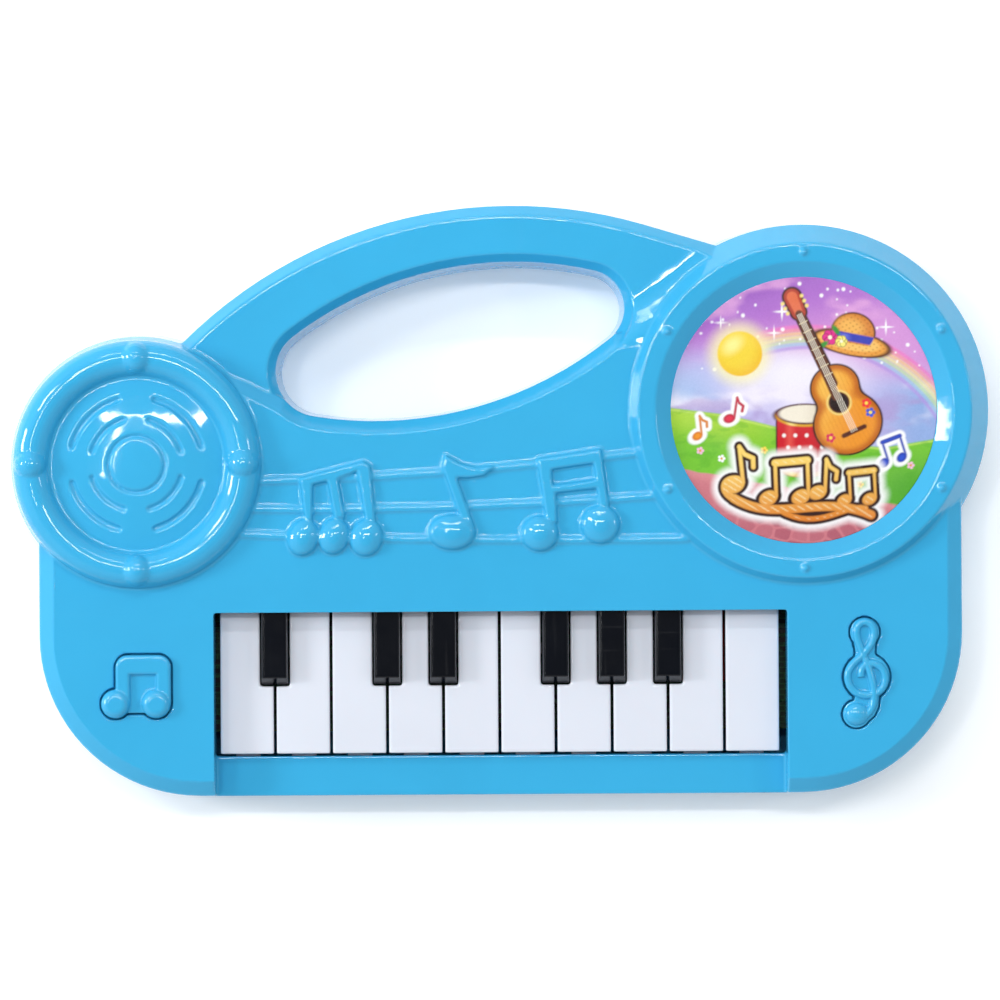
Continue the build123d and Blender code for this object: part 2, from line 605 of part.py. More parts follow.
def black_key(white_number):
    """A hollow black key with leaning sides, a sloped front and a fine nick in the middle of that slope."""
    half = BLACK_WIDTH / 2
    low, rear = 19.4, KEY_BODY_REAR_Y
    slope_run = 1.9
    side = Plane.YZ * area(
        (BLACK_FRONT_Y, low), (BLACK_FRONT_Y, WHITE_TOP_Z - 0.4), (BLACK_FRONT_Y + slope_run, BLACK_TOP_Z),
        (rear, BLACK_TOP_Z), (rear, low),
    )
    key = extrude(side, amount=half, both=True)
    for sign in (-1, 1):
        lean = Plane.XZ * area(
            (sign * half, WHITE_TOP_Z), (sign * (half - 0.45), BLACK_TOP_Z + 1), (sign * (half + 2), BLACK_TOP_Z + 1),
            (sign * (half + 2), WHITE_TOP_Z),
        )
        key = key - extrude(lean, amount=80)
    key = fillet([edge for edge in key.edges().group_by(Axis.Z)[-1]], 0.5)
    wall = 1.0
    key = key - block((-half + wall, half - wall), (BLACK_FRONT_Y + wall, rear - wall), (low - 1, WHITE_TOP_Z - wall))
    key = key - block((-0.3, 0.3), (BLACK_FRONT_Y - 1, BLACK_FRONT_Y + 0.5), (WHITE_TOP_Z - 3, BLACK_TOP_Z + 1))
    key = key + plunger(BLACK_PLUNGER_Y, WHITE_TOP_Z) + knuckle(TAIL_TOP_Z, rear - wall)
    key = key - crosswise(*HINGE, HINGE_PIN_R + 0.05, -half, half)
    return Pos(black_centre_x(white_number), 0, 0) * key


def hinge_rail():
    """The moulded rail behind the keys, with ears that hold the hinge pin."""
    y, z = HINGE
    ends = (KEY_FIELD_LEFT - 3.4, KEY_FIELD_LEFT + WHITE_COUNT * KEY_PITCH + 3.2)
    rail = block(ends, (y + 2.9, -8.5), (17.5, 24.0))
    plain_gaps = [n for n in range(1, WHITE_COUNT) if n not in BLACK_AFTER]
    ears = [ends[0] + 1.0, ends[1] - 1.0] + [black_centre_x(n) for n in plain_gaps]
    for x in ears:
        rail = rail + block((x - 0.7, x + 0.7), (y, y + 4), (z - 2.4, z + 2.4))
        rail = rail + crosswise(y, z, 2.4, x - 0.7, x + 0.7)
    rail = rail - crosswise(y, z, HINGE_PIN_R + 0.02, ends[0] - 1, ends[1] + 1)
    return rail - [post(point, 1.4, 15, 26) for point in RAIL_SCREWS]


def hinge_pin():
    ends = (KEY_FIELD_LEFT - 3.0, KEY_FIELD_LEFT + WHITE_COUNT * KEY_PITCH + 2.8)
    return crosswise(*HINGE, HINGE_PIN_R, *ends)


# ---- Buttons --------------------------------------------------------------------------------------
NOTE_ARCH = (-102.45, -87.75, -53.6, -40.65)  # left, right, bottom, top
NOTE_ARCH_R = 3.2
NOTE_STROKE = 3.9
NOTE_HEADS = [(-102.5, -53.6), (-91.7, -53.6)]
NOTE_HEAD_R = 3.85


def note_arch():
    left, right, bottom, top = NOTE_ARCH
    middle = ((left + right) / 2, (bottom + top) / 2)
    arch = Pos(*middle) * RectangleRounded(right - left, top - bottom, NOTE_ARCH_R)
    return arch + area((left, bottom), (right, bottom), (right, bottom + 5), (left, bottom + 5))


def note_button_outline():
    outline = note_arch() + [disc(head, NOTE_HEAD_R) for head in NOTE_HEADS]
    left, right, bottom, _ = NOTE_ARCH
    return outline + area((left + 1, bottom - 2.4), (right - 5, bottom - 2.4), (right - 5, bottom), (left + 1, bottom))


def button_base(outline, stem):
    """The plain lower part of a button: its cap up to the face, the flange that holds it in and its stem."""
    cap = upright(outline, CEILING_Z - 1.2, BUTTON_TOP_Z)
    flange = upright(offset(outline, BUTTON_FLANGE), CEILING_Z - 1.4, CEILING_Z - 0.15)
    return cap + flange + post(stem, 1.8, PAD_TOP_Z + PAD_GAP, CEILING_Z - 1)


def note_button():
    """The left button, a pair of quavers with domed heads."""
    left, right, bottom, top = NOTE_ARCH
    window = area((left + NOTE_STROKE, bottom - 9), (right - NOTE_STROKE, bottom - 9),
                  (right - NOTE_STROKE, top - 5.2), (left + NOTE_STROKE, top - 5.2))
    stroke = upright(note_arch() - window, BUTTON_TOP_Z - 0.2, FACE_Z + 1.6)
    stroke = fillet(stroke.edges().group_by(Axis.Z)[-1], 0.9)
    heads = []
    for head in NOTE_HEADS:
        dome = upright(disc(head, NOTE_HEAD_R), BUTTON_TOP_Z - 0.2, FACE_Z + 2.6)
        heads.append(fillet(dome.edges().sort_by(Axis.Z)[-1], 2.1))
    return button_base(note_button_outline(), NOTE_STEM) + stroke + heads


CLEF_LOOP = ((96.7, -35.75), 3.85)
CLEF_BOWL = ((97.2, -47.6), 6.1)
CLEF_DOT = ((94.4, -57.5), 3.6)
CLEF_STROKE = 2.1
CLEF_TOP_Z = FACE_Z + 1.5


def clef_button_outline():
    neck = area((93.7, -37.6), (99.7, -37.6), (99.3, -41.2), (100.1, -43.2), (93.7, -43.5), (94.3, -41.2))
    stem = area((94.6, -51.0), (100.6, -50.5), (100.2, -55.5), (99.2, -57.8), (97.6, -59.3), (94.4, -57.5), (93.6, -54.5))
    return disc(*CLEF_LOOP) + disc(*CLEF_BOWL) + disc(*CLEF_DOT) + neck + stem


def clef_strokes():
    """The clef's two strokes: the tall loop with its stem, and the bowl with its inner curl."""
    tall = [
        ((98.1, -39.9), (99.45, -35.6), (96.7, -33.0)), ((96.7, -33.0), (94.1, -35.9), (96.3, -41.2)),
        ((96.3, -41.2), (98.3, -46.2), (99.1, -51.3)), ((99.1, -51.3), (99.0, -54.6), (97.0, -57.4)),
    ]
    bowl = [
        ((98.1, -39.9), (95.9, -42.0), (93.5, -44.4)), ((93.5, -44.4), (92.3, -48.2), (94.3, -51.6)),
        ((94.3, -51.6), (98.6, -52.4), (101.8, -49.3)), ((101.8, -49.3), (101.3, -45.0), (97.9, -43.9)),
        ((97.9, -43.9), (95.8, -45.2), (95.5, -47.5)),
    ]
    return [ThreePointArc(*arc) for arc in tall + bowl]


def clef_button():
    """The right button, a treble clef with a rounded foot."""
    button = button_base(clef_button_outline(), CLEF_STEM)
    limit = upright(clef_button_outline(), BUTTON_TOP_Z - 1, CLEF_TOP_Z + 1)
    for stroke in clef_strokes():
        band = trace(stroke, line_width=CLEF_STROKE) + [disc(((stroke @ t).X, (stroke @ t).Y), CLEF_STROKE / 2) for t in (0, 1)]
        button = button + (upright(band, BUTTON_TOP_Z - 0.2, CLEF_TOP_Z) & limit)
    foot = upright(disc(*CLEF_DOT), BUTTON_TOP_Z - 0.2, FACE_Z + 2.2)
    return button + fillet(foot.edges().sort_by(Axis.Z)[-1], 1.8)


# ---- Circuit board --------------------------------------------------------------------------------
def circuit_board():
    board = Pos(0, BOARD_CENTRE_Y, BOARD_TOP_Z - BOARD_THICKNESS / 2) * Box(*BOARD_SIZE, BOARD_THICKNESS)
    return board - [post(point, 1.4, 0, 20) for point in BOARD_POSTS]


def pad_points():
    points = [(white_centre_x(n), WHITE_PLUNGER_Y) for n in range(1, WHITE_COUNT + 1)]
    points += [(black_centre_x(n), BLACK_PLUNGER_Y) for n in BLACK_AFTER]
    return points + [NOTE_STEM, CLEF_STEM]


def rubber_contact_pads():
    """One hollow rubber dome under each key and button."""
    z = BOARD_TOP_Z
    profile = [
        (0, PAD_TOP_Z), (2.2, PAD_TOP_Z), (2.3, z + 3.2), (3.1, z + 0.8), (4.0, z + 0.8), (4.0, z),
        (2.7, z), (2.5, z + 0.6), (1.5, z + 2.6), (0, z + 2.6),
    ]
    return [turned(profile, point) for point in pad_points()]


def epoxy_chip():
    return turned([(0, BOARD_TOP_Z), (5.0, BOARD_TOP_Z), (4.4, BOARD_TOP_Z + 0.7), (3.0, BOARD_TOP_Z + 1.2),
                   (0, BOARD_TOP_Z + 1.4)], (-8, -32.5))


def capacitor():
    """A small can that hangs under the board."""
    top = BOARD_TOP_Z - BOARD_THICKNESS
    return turned([(0, top), (2.3, top), (2.5, top - 0.4), (2.5, top - 0.9), (2.3, top - 1.1), (2.5, top - 1.4),
                   (2.5, top - 5.8), (2.2, top - 6.1), (0, top - 6.1)], (92, -34))


def resistors():
    """Three small resistors on the board, each a body with two legs along X."""
    z = BOARD_TOP_Z + 0.8
    solids = []
    for x in (-52.0, 20.0, 38.0):
        body = crosswise(-32, z, 0.8, x - 2.5, x + 2.5)
        legs = crosswise(-32, z, 0.25, x - 4.5, x + 4.5)
        feet = [block((x + s - 0.25, x + s + 0.25), (-32.25, -31.75), (BOARD_TOP_Z, z + 0.25)) for s in (-4.4, 4.4)]
        solids.append(body + legs + feet)
    return solids


# ---- Speaker --------------------------------------------------------------------------------------
def speaker_seat():
    """A low ring round the speaker's rim and three posts for the screws whose washers clamp the rim."""
    seat = turned([(SPEAKER_R + 0.5, 3), (SPEAKER_R + 2, 3), (SPEAKER_R + 2, 4.3), (SPEAKER_R + 0.5, 4.3)], DRUM)
    posts = [post(drum_circle(angle, SPEAKER_SCREW_RING_R), 2.4, 3, 4.5) for angle in (30, 150, 270)]
    pilots = [post(drum_circle(angle, SPEAKER_SCREW_RING_R), PILOT_R - 0.2, 2.4, 5) for angle in (30, 150, 270)]
    return seat + posts - pilots


def speaker_slots():
    """The rear grille: parallel slots inside a circle."""
    pitch, width = 4.0, 1.8
    slots = []
    for n in range(-4, 5):
        half = (GRILLE_R**2 - (n * pitch) ** 2) ** 0.5
        slot = Pos(0, n * pitch) * SlotOverall(2 * half, width)
        slots.append(Pos(*DRUM) * upright(slot, 0, PLATE_TOP_Z + 0.3))
    return slots


def speaker_basket():
    basket = turned(
        [(19.8, 3.3), (SPEAKER_R, 3.3), (SPEAKER_R, 4.5), (20.9, 4.5), (14, 12.8), (0, 12.8), (0, 11.8), (13.4, 11.8),
         (19.8, 4.2)],
        DRUM,
    )
    lug = block((DRUM[0] + 16.8, DRUM[0] + 21), (DRUM[1] - 3.5, DRUM[1] + 3.5), (8.0, 9.0))
    return basket + (lug - turned([(0, 0), (17.2, 0), (17.2, 10), (0, 10)], DRUM))


def speaker_magnet():
    return turned([(0, 12.8), (10, 12.8), (13, 13.6), (13, 19.6), (12.4, 20.2), (0, 20.2)], DRUM)


def speaker_cone():
    return turned([(0, 7.0), (3.5, 7.4), (6.4, 8.8), (16.2, 4.4), (17.4, 3.5), (18.6, 3.4), (19.5, 3.5), (19.5, 4.1),
                   (18.6, 4.0), (17.6, 4.1), (16.6, 5.0), (6.8, 9.6), (6.8, 11.6), (0, 11.6)], DRUM)


# ---- Battery cells and contacts -------------------------------------------------------------------
CELL_A_START = CELL_X[0] + 4.3
CELL_B_START = CELL_X[0] + 1.9
CONTACT_THICKNESS = 0.4


def battery_cell(index):
    """A cell along X. The first points its nub to +X and the second to -X."""
    y = CELL_CENTRE_Y[index]
    radius, nub = CELL_NUB
    if index == 0:
        end = CELL_A_START + CELL_LENGTH
        return crosswise(y, CELL_AXIS_Z, CELL_R, CELL_A_START, end) + crosswise(y, CELL_AXIS_Z, radius, end, end + nub)
    body = crosswise(y, CELL_AXIS_Z, CELL_R, CELL_B_START, CELL_B_START + CELL_LENGTH)
    return body + crosswise(y, CELL_AXIS_Z, radius, CELL_B_START - nub, CELL_B_START)


def battery_contacts():
    """Two separate plates at the left end and one long link plate at the right end."""
    z = (6.4, 17.0)
    low, high = CELL_X
    plates = [
        block((low, low + CONTACT_THICKNESS), (CELL_CENTRE_Y[n] - 5, CELL_CENTRE_Y[n] + 5), z) for n in (0, 1)
    ]
    plates.append(block((high - CONTACT_THICKNESS, high), (CELL_CENTRE_Y[0] - 5, CELL_CENTRE_Y[1] + 5), z))
    return plates


def battery_springs():
    """A coil spring behind each cell's flat end."""
    wire_r = 0.35
    springs = []
    spans = [
        (CELL_X[0] + CONTACT_THICKNESS, CELL_A_START, CELL_CENTRE_Y[0]),
        (CELL_X[1] - CONTACT_THICKNESS, CELL_B_START + CELL_LENGTH, CELL_CENTRE_Y[1]),
    ]
    for start, end, y in spans:
        sign = 1 if end > start else -1
        length = abs(end - start) - 2 * wire_r - 0.04
        coil = Helix(pitch=length / 3, height=length, radius=3.4)
        wire = sweep(Plane(origin=coil @ 0, z_dir=coil % 0) * Circle(wire_r), path=coil)
        springs.append(Pos(start + sign * (wire_r + 0.02), y, CELL_AXIS_Z) * Rot(0, sign * 90, 0) * wire)
    return springs


# ---- Fasteners ------------------------------------------------------------------------------------
def screw(point, seat_z, length, head_r, shank_r, head_height):
    """A pan-head screw driven upwards, with a cross recess in its head."""
    arm = head_r * 0.62
    head = post(point, head_r, seat_z - head_height, seat_z)
    head = fillet(head.edges().sort_by(Axis.Z)[0], head_height * 0.45)
    low = (seat_z - head_height - 1, seat_z - head_height * 0.45)
    for x, y in ((arm, 0.3), (0.3, arm)):
        head = head - block((point[0] - x, point[0] + x), (point[1] - y, point[1] + y), low)
    return head + post(point, shank_r, seat_z, seat_z + length)


def case_screws():
    return [screw(point, 7.0, 12, 2.7, SCREW_SHANK_R, 1.9) for point in CASE_SCREWS]


def circuit_board_screws():
    return [screw(point, BOARD_TOP_Z - BOARD_THICKNESS, 8, 2.4, SCREW_SHANK_R, 1.6) for point in BOARD_POSTS]


def hinge_rail_screws():
    return [screw(point, 17.5, 8.4, 2.4, SCREW_SHANK_R, 1.6) for point in RAIL_SCREWS]


def battery_door_screw():
    """A short screw that stays in the door when the door opens."""
    return screw(DOOR_SCREW, FOOT_HEIGHT + 0.9, 4, 2.6, SCREW_SHANK_R, 1.0)


def speaker_screws():
    """Three screws whose wide washer heads clamp the speaker's rim."""
    solids = []
    for angle in (30, 150, 270):
        point = drum_circle(angle, SPEAKER_SCREW_RING_R)
        washer = post(point, 4.4, 4.5, 5.2)
        head = fillet(post(point, 2.4, 5.2, 6.8).edges().sort_by(Axis.Z)[-1], 0.6)
        head = head - post(point, 0.9, 6.1, 8)
        solids.append(washer + head + post(point, 0.85, PLATE_TOP_Z + 0.1, 4.5))
    return solids


# ---- Wires ----------------------------------------------------------------------------------------
def wire(points):
    """A round wire along straight runs joined by arcs as large as the runs allow."""
    vectors = [Vector(*point) for point in points]
    radii = []
    for before, here, after in zip(vectors, vectors[1:], vectors[2:]):
        first, second = here - before, after - here
        turn = radians(first.get_angle(second))
        shorter = min(first.length, second.length)
        radii.append(0.45 * shorter / (sin(turn / 2) / cos(turn / 2)))
    path = FilletPolyline(*points, radius=radii)
    return sweep(Plane(origin=path @ 0, z_dir=path % 0) * Circle(WIRE_R), path=path)


def speaker_wire(side):
    """From the speaker's lug, under the hinge rail, down onto the board's left rear corner."""
    x, y = DRUM[0] + 19.0 + 1.1 * side, DRUM[1] + 1.4 * side
    end_x = -75.5 + 1.5 * side
    high = 14.0
    return wire([
        (x, y, 9.0), (x, y, high), (end_x, y - 16, high + 0.6), (end_x, -24.0, high), (end_x, -31.0, high),
        (end_x, -31.0, BOARD_TOP_Z),
    ])


def battery_wire_red():
    """From the nub end's contact, under the rail and over the board between the last two white keys."""
    gap_x = black_centre_x(9)
    start = CELL_CENTRE_Y[1]
    return wire([
        (CELL_X[0], start, 14.0), (44.5, start, 14.0), (41.5, start - 14, 14.4), (44.0, 0.5, 14.0),
        (gap_x - 3.2, -13.0, 13.4), (gap_x, -28.0, 13.9), (gap_x, -49.0, 13.5), (gap_x, -49.0, BOARD_TOP_Z),
    ])


def battery_wire_black():
    """From the spring end's contact, under the rail, down onto the board."""
    start = CELL_CENTRE_Y[0]
    return wire([
        (CELL_X[0], start, 14.0), (46.8, start, 14.0), (47.0, 2.5, 14.4), (54.5, -6.0, 14.0),
        (66.0, -18.0, 13.6), (67.0, -30.5, 14.2), (67.0, -30.5, BOARD_TOP_Z),
    ])


# ---- Writing --------------------------------------------------------------------------------------
def sub_parts():
    parts = {
        "front_shell": front_shell,
        "rear_cover": rear_cover,
        "battery_door": battery_door,
        "battery_door_screw": battery_door_screw,
        "label_disc": lambda: post(MEDALLION, LABEL_R, FACE_Z, FACE_Z + LABEL_THICKNESS),
        "note_button": note_button,
        "clef_button": clef_button,
        "key_hinge_rail": hinge_rail,
        "key_hinge_pin": hinge_pin,
        "circuit_board": circuit_board,
        "rubber_contact_pads": rubber_contact_pads,
        "epoxy_chip": epoxy_chip,
        "capacitor": capacitor,
        "resistors": resistors,
        "speaker_basket": speaker_basket,
        "speaker_magnet": speaker_magnet,
        "speaker_cone": speaker_cone,
        "speaker_screws": speaker_screws,
        "battery_cell_front": lambda: battery_cell(0),
        "battery_cell_rear": lambda: battery_cell(1),
        "battery_contacts": battery_contacts,
        "battery_springs": battery_springs,
        "case_screws": case_screws,
        "circuit_board_screws": circuit_board_screws,
        "hinge_rail_screws": hinge_rail_screws,
        "speaker_wire_red": lambda: speaker_wire(1),
        "speaker_wire_black": lambda: speaker_wire(-1),
        "battery_wire_red": battery_wire_red,
        "battery_wire_black": battery_wire_black,
    }
    for number in range(1, WHITE_COUNT + 1):
        parts[f"white_key_{number:02d}"] = lambda number=number: white_key(number)
    for index, white_number in enumerate(BLACK_AFTER, start=1):
        parts[f"black_key_{index:02d}"] = lambda white_number=white_number: black_key(white_number)
    return parts


def main():
    os.makedirs("parts", exist_ok=True)
    for name, make in sub_parts().items():
        made = make()
        shape = Compound(children=list(made)) if isinstance(made, list) else made
        export_step(shape, f"parts/{name}.step")


main()
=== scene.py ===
"""Looks for the toy electronic keyboard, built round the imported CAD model. Metres, +Z up, keys towards -Y."""

import math

import bmesh
import bpy
import numpy as np
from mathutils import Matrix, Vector


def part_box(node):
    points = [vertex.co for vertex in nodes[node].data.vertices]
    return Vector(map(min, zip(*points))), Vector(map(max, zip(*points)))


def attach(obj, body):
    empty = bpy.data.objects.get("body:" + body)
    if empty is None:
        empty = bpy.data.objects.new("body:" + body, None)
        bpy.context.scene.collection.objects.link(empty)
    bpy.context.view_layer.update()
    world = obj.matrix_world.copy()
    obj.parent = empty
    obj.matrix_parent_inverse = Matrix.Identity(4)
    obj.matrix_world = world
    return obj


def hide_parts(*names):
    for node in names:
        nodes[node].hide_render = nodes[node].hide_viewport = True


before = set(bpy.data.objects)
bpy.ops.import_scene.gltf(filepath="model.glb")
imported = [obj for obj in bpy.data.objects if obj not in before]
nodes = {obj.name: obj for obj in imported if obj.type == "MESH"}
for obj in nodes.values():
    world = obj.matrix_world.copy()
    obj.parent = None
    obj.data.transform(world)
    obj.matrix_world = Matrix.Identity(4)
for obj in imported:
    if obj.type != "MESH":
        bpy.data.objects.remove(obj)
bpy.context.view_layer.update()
MM = 0.001
MIX_A, MIX_B, MIX_RESULT = 6, 7, 2  # the colour sockets of a Mix node


# ---- Camera, floor and light ----------------------------------------------------------------------
CAMERA_HEIGHT = 1.292
CAMERA_LENS = 170.9
CAMERA_ROLL = -0.0062

camera = bpy.data.objects.new("camera", bpy.data.cameras.new("camera"))
camera.location = (0, 0, CAMERA_HEIGHT)
camera.rotation_euler = (0, 0, CAMERA_ROLL)
camera.data.lens = CAMERA_LENS
camera.data.sensor_width = 36
camera.data.clip_start = 0.01
camera.data.clip_end = 50
bpy.context.collection.objects.link(camera)
bpy.context.scene.camera = camera
bpy.context.scene.view_settings.view_transform = "Standard"


# ---- Node helpers ---------------------------------------------------------------------------------
class Graph:
    """A small helper round one material's node tree."""

    def __init__(self, name):
        self.material = bpy.data.materials.new(name)
        self.material.use_nodes = True
        self.tree = self.material.node_tree
        self.tree.nodes.clear()
        self.out = self.tree.nodes.new("ShaderNodeOutputMaterial")
        self.shader = self.tree.nodes.new("ShaderNodeBsdfPrincipled")
        self.tree.links.new(self.shader.outputs["BSDF"], self.out.inputs["Surface"])
        self.coords = self.tree.nodes.new("ShaderNodeTexCoord").outputs["Object"]

    def put(self, socket, value):
        target = self.shader.inputs[socket] if isinstance(socket, str) else socket
        if isinstance(value, bpy.types.NodeSocket):
            self.tree.links.new(value, target)
        elif isinstance(value, (tuple, list)) and len(value) == 3 and target.type == "RGBA":
            target.default_value = (*value, 1)
        else:
            target.default_value = value

    def node(self, kind, **settings):
        made = self.tree.nodes.new(kind)
        for key, value in settings.items():
            setattr(made, key, value)
        return made

    def mapped(self, stretch, turn):
        made = self.node("ShaderNodeMapping")
        self.put(made.inputs["Vector"], self.coords)
        made.inputs["Scale"].default_value = stretch
        made.inputs["Rotation"].default_value = turn
        return made.outputs["Vector"]

    def noise(self, size_mm, detail=2.0, rough=0.5, distortion=0.0, vector=None):
        made = self.node("ShaderNodeTexNoise")
        self.put(made.inputs["Vector"], vector or self.coords)
        made.inputs["Scale"].default_value = 1000.0 / size_mm
        made.inputs["Detail"].default_value = detail
        made.inputs["Roughness"].default_value = rough
        made.inputs["Distortion"].default_value = distortion
        return made.outputs["Fac"]

    def span(self, value, low, high, to_low, to_high):
        made = self.node("ShaderNodeMapRange", clamp=True)
        self.put(made.inputs["Value"], value)
        for key, number in (("From Min", low), ("From Max", high), ("To Min", to_low), ("To Max", to_high)):
            made.inputs[key].default_value = number
        return made.outputs["Result"]

    def math(self, operation, first, second=0.0):
        """One arithmetic node. FRACT takes no second value."""
        made = self.node("ShaderNodeMath", operation=operation)
        self.put(made.inputs[0], first)
        self.put(made.inputs[1], second)
        return made.outputs[0]

    def mix(self, share, first, second, blend="MIX"):
        made = self.node("ShaderNodeMix", data_type="RGBA", blend_type=blend)
        self.put(made.inputs["Factor"], share)
        self.put(made.inputs[MIX_A], first)
        self.put(made.inputs[MIX_B], second)
        return made.outputs[MIX_RESULT]

    def bump(self, height, distance_um, normal=None):
        made = self.node("ShaderNodeBump")
        made.inputs["Strength"].default_value = 1.0
        made.inputs["Distance"].default_value = distance_um * MM * MM
        self.put(made.inputs["Height"], height)
        if normal is not None:
            self.put(made.inputs["Normal"], normal)
        return made.outputs["Normal"]


def shade(base, amount):
    """A lighter or darker relative of a colour."""
    return tuple(max(0.0, min(1.0, channel * amount)) for channel in base)


def moulded_plastic(name, base, gloss, wave_um=14.0, peel_um=0.5, tone=0.05, scratch=0.04, subsurface=0.0,
                    fine_um=0.0, specular=0.5):
    """Injection-moulded plastic: faint flow marks in the colour, uneven gloss, hairline scratches, a slight
    waviness from shrinkage and a fine peel from the mould."""
    g = Graph(name)
    flow = g.noise(38, detail=3, rough=0.55, distortion=0.6)
    g.put("Base Color", g.mix(g.span(flow, 0.3, 0.7, 0, 1), shade(base, 1 - tone), shade(base, 1 + tone)))
    haze = g.span(g.noise(11, detail=5, rough=0.6), 0.3, 0.75, *gloss)
    hair_a = g.span(g.noise(2.2, detail=2, vector=g.mapped((0.05, 1.0, 1.0), (0, 0, 0.5))), 0.66, 0.72, 0, scratch)
    hair_b = g.span(g.noise(2.6, detail=2, vector=g.mapped((1.0, 0.04, 1.0), (0, 0, 0.3))), 0.67, 0.73, 0, scratch)
    g.put("Roughness", g.math("ADD", haze, g.math("ADD", hair_a, hair_b)))
    normal = g.bump(g.noise(24, detail=1), wave_um)
    normal = g.bump(g.noise(0.9, detail=1), peel_um, normal)
    if fine_um:
        normal = g.bump(g.noise(0.35, detail=2, rough=0.7), fine_um, normal)
    g.put("Normal", normal)
    g.put("IOR", 1.49)
    g.put("Specular IOR Level", specular)
    if subsurface:
        g.put("Subsurface Weight", subsurface)
        g.put("Subsurface Radius", (0.4, 0.9, 1.0))
        g.put("Subsurface Scale", 0.0012)
    return g.material


def metal(name, base, rough):
    """Plated or plain metal with a fine grain and uneven brightness."""
    g = Graph(name)
    patches = g.noise(3.5, detail=4, rough=0.6)
    g.put("Base Color", g.mix(g.span(patches, 0.35, 0.7, 0, 1), shade(base, 0.86), shade(base, 1.06)))
    g.put("Metallic", 1.0)
    g.put("Roughness", g.span(g.noise(1.2, detail=3), 0.3, 0.7, *rough))
    g.put("Normal", g.bump(g.noise(0.25, detail=2), 1.0))
    return g.material


def rubber(name, base, rough=(0.55, 0.75)):
    g = Graph(name)
    dust = g.noise(1.4, detail=5, rough=0.65)
    g.put("Base Color", g.mix(g.span(dust, 0.45, 0.75, 0, 1), base, shade(base, 1.15)))
    g.put("Roughness", g.span(dust, 0.3, 0.7, *rough))
    g.put("Normal", g.bump(g.noise(0.3, detail=2), 2.0))
    return g.material


COMB_LINES_PER_M = 400.0


def board_material():
    """Green solder mask over faint tracks, with the black carbon combs that the rubber domes close. The green is
    painted darker than the board's own, as painted shade where the board shows in the gaps beside the keys.
    """
    g = Graph("board_green")
    tracks = g.node("ShaderNodeTexBrick")
    tracks.inputs["Scale"].default_value = 170.0
    tracks.inputs["Mortar Size"].default_value = 0.035
    tracks.inputs["Color1"].default_value = (0, 0, 0, 1)
    tracks.inputs["Color2"].default_value = (0.12, 0.12, 0.12, 1)
    tracks.inputs["Mortar"].default_value = (1, 1, 1, 1)
    g.put(tracks.inputs["Vector"], g.coords)
    # painted shade: both greens of the solder mask are about half as bright as the board's own colour, so that the
    # board reads dark in the gaps beside the keys
    mask = g.mix(tracks.outputs["Color"], (0.006, 0.055, 0.024), (0.02, 0.12, 0.045))
    split = g.node("ShaderNodeSeparateXYZ")
    g.put(split.inputs[0], g.coords)
    comb = g.math("GREATER_THAN", g.math("FRACT", g.math("MULTIPLY", split.outputs["Y"], COMB_LINES_PER_M)), 0.5)
    zone = g.math("GREATER_THAN", g.noise(9, detail=0), 0.53)
    g.put("Base Color", g.mix(g.math("MULTIPLY", comb, zone), mask, (0.012, 0.012, 0.012)))
    g.put("Roughness", g.span(g.noise(2, detail=3), 0.3, 0.7, 0.25, 0.45))
    g.put("Normal", g.bump(tracks.outputs["Fac"], 18))
    return g.material


def printed_card():
    """Laminated print: the picture's colours, a faint ink mottle, and a film that isn't quite flat."""
    g = Graph("printed_card")
    ink = g.node("ShaderNodeVertexColor", layer_name="picture").outputs["Color"]
    mottle = g.span(g.noise(0.5, detail=2), 0.35, 0.65, 0, 0.1)
    g.put("Base Color", g.mix(mottle, ink, (0.93, 0.9, 0.95), "SOFT_LIGHT"))
    g.put("Roughness", g.span(g.noise(7, detail=4), 0.3, 0.7, 0.16, 0.26))
    normal = g.bump(g.noise(13, detail=1), 8)
    g.put("Normal", g.bump(g.noise(0.6, detail=2), 0.35, normal))
    g.put("Specular IOR Level", 0.4)
    return g.material


# ---- Materials ------------------------------------------------------------------------------------
BLUE = (0.040, 0.380, 0.665)
KEY_WHITE = (0.655, 0.69, 0.77)
KEY_BLACK = (0.0015, 0.0023, 0.0048)

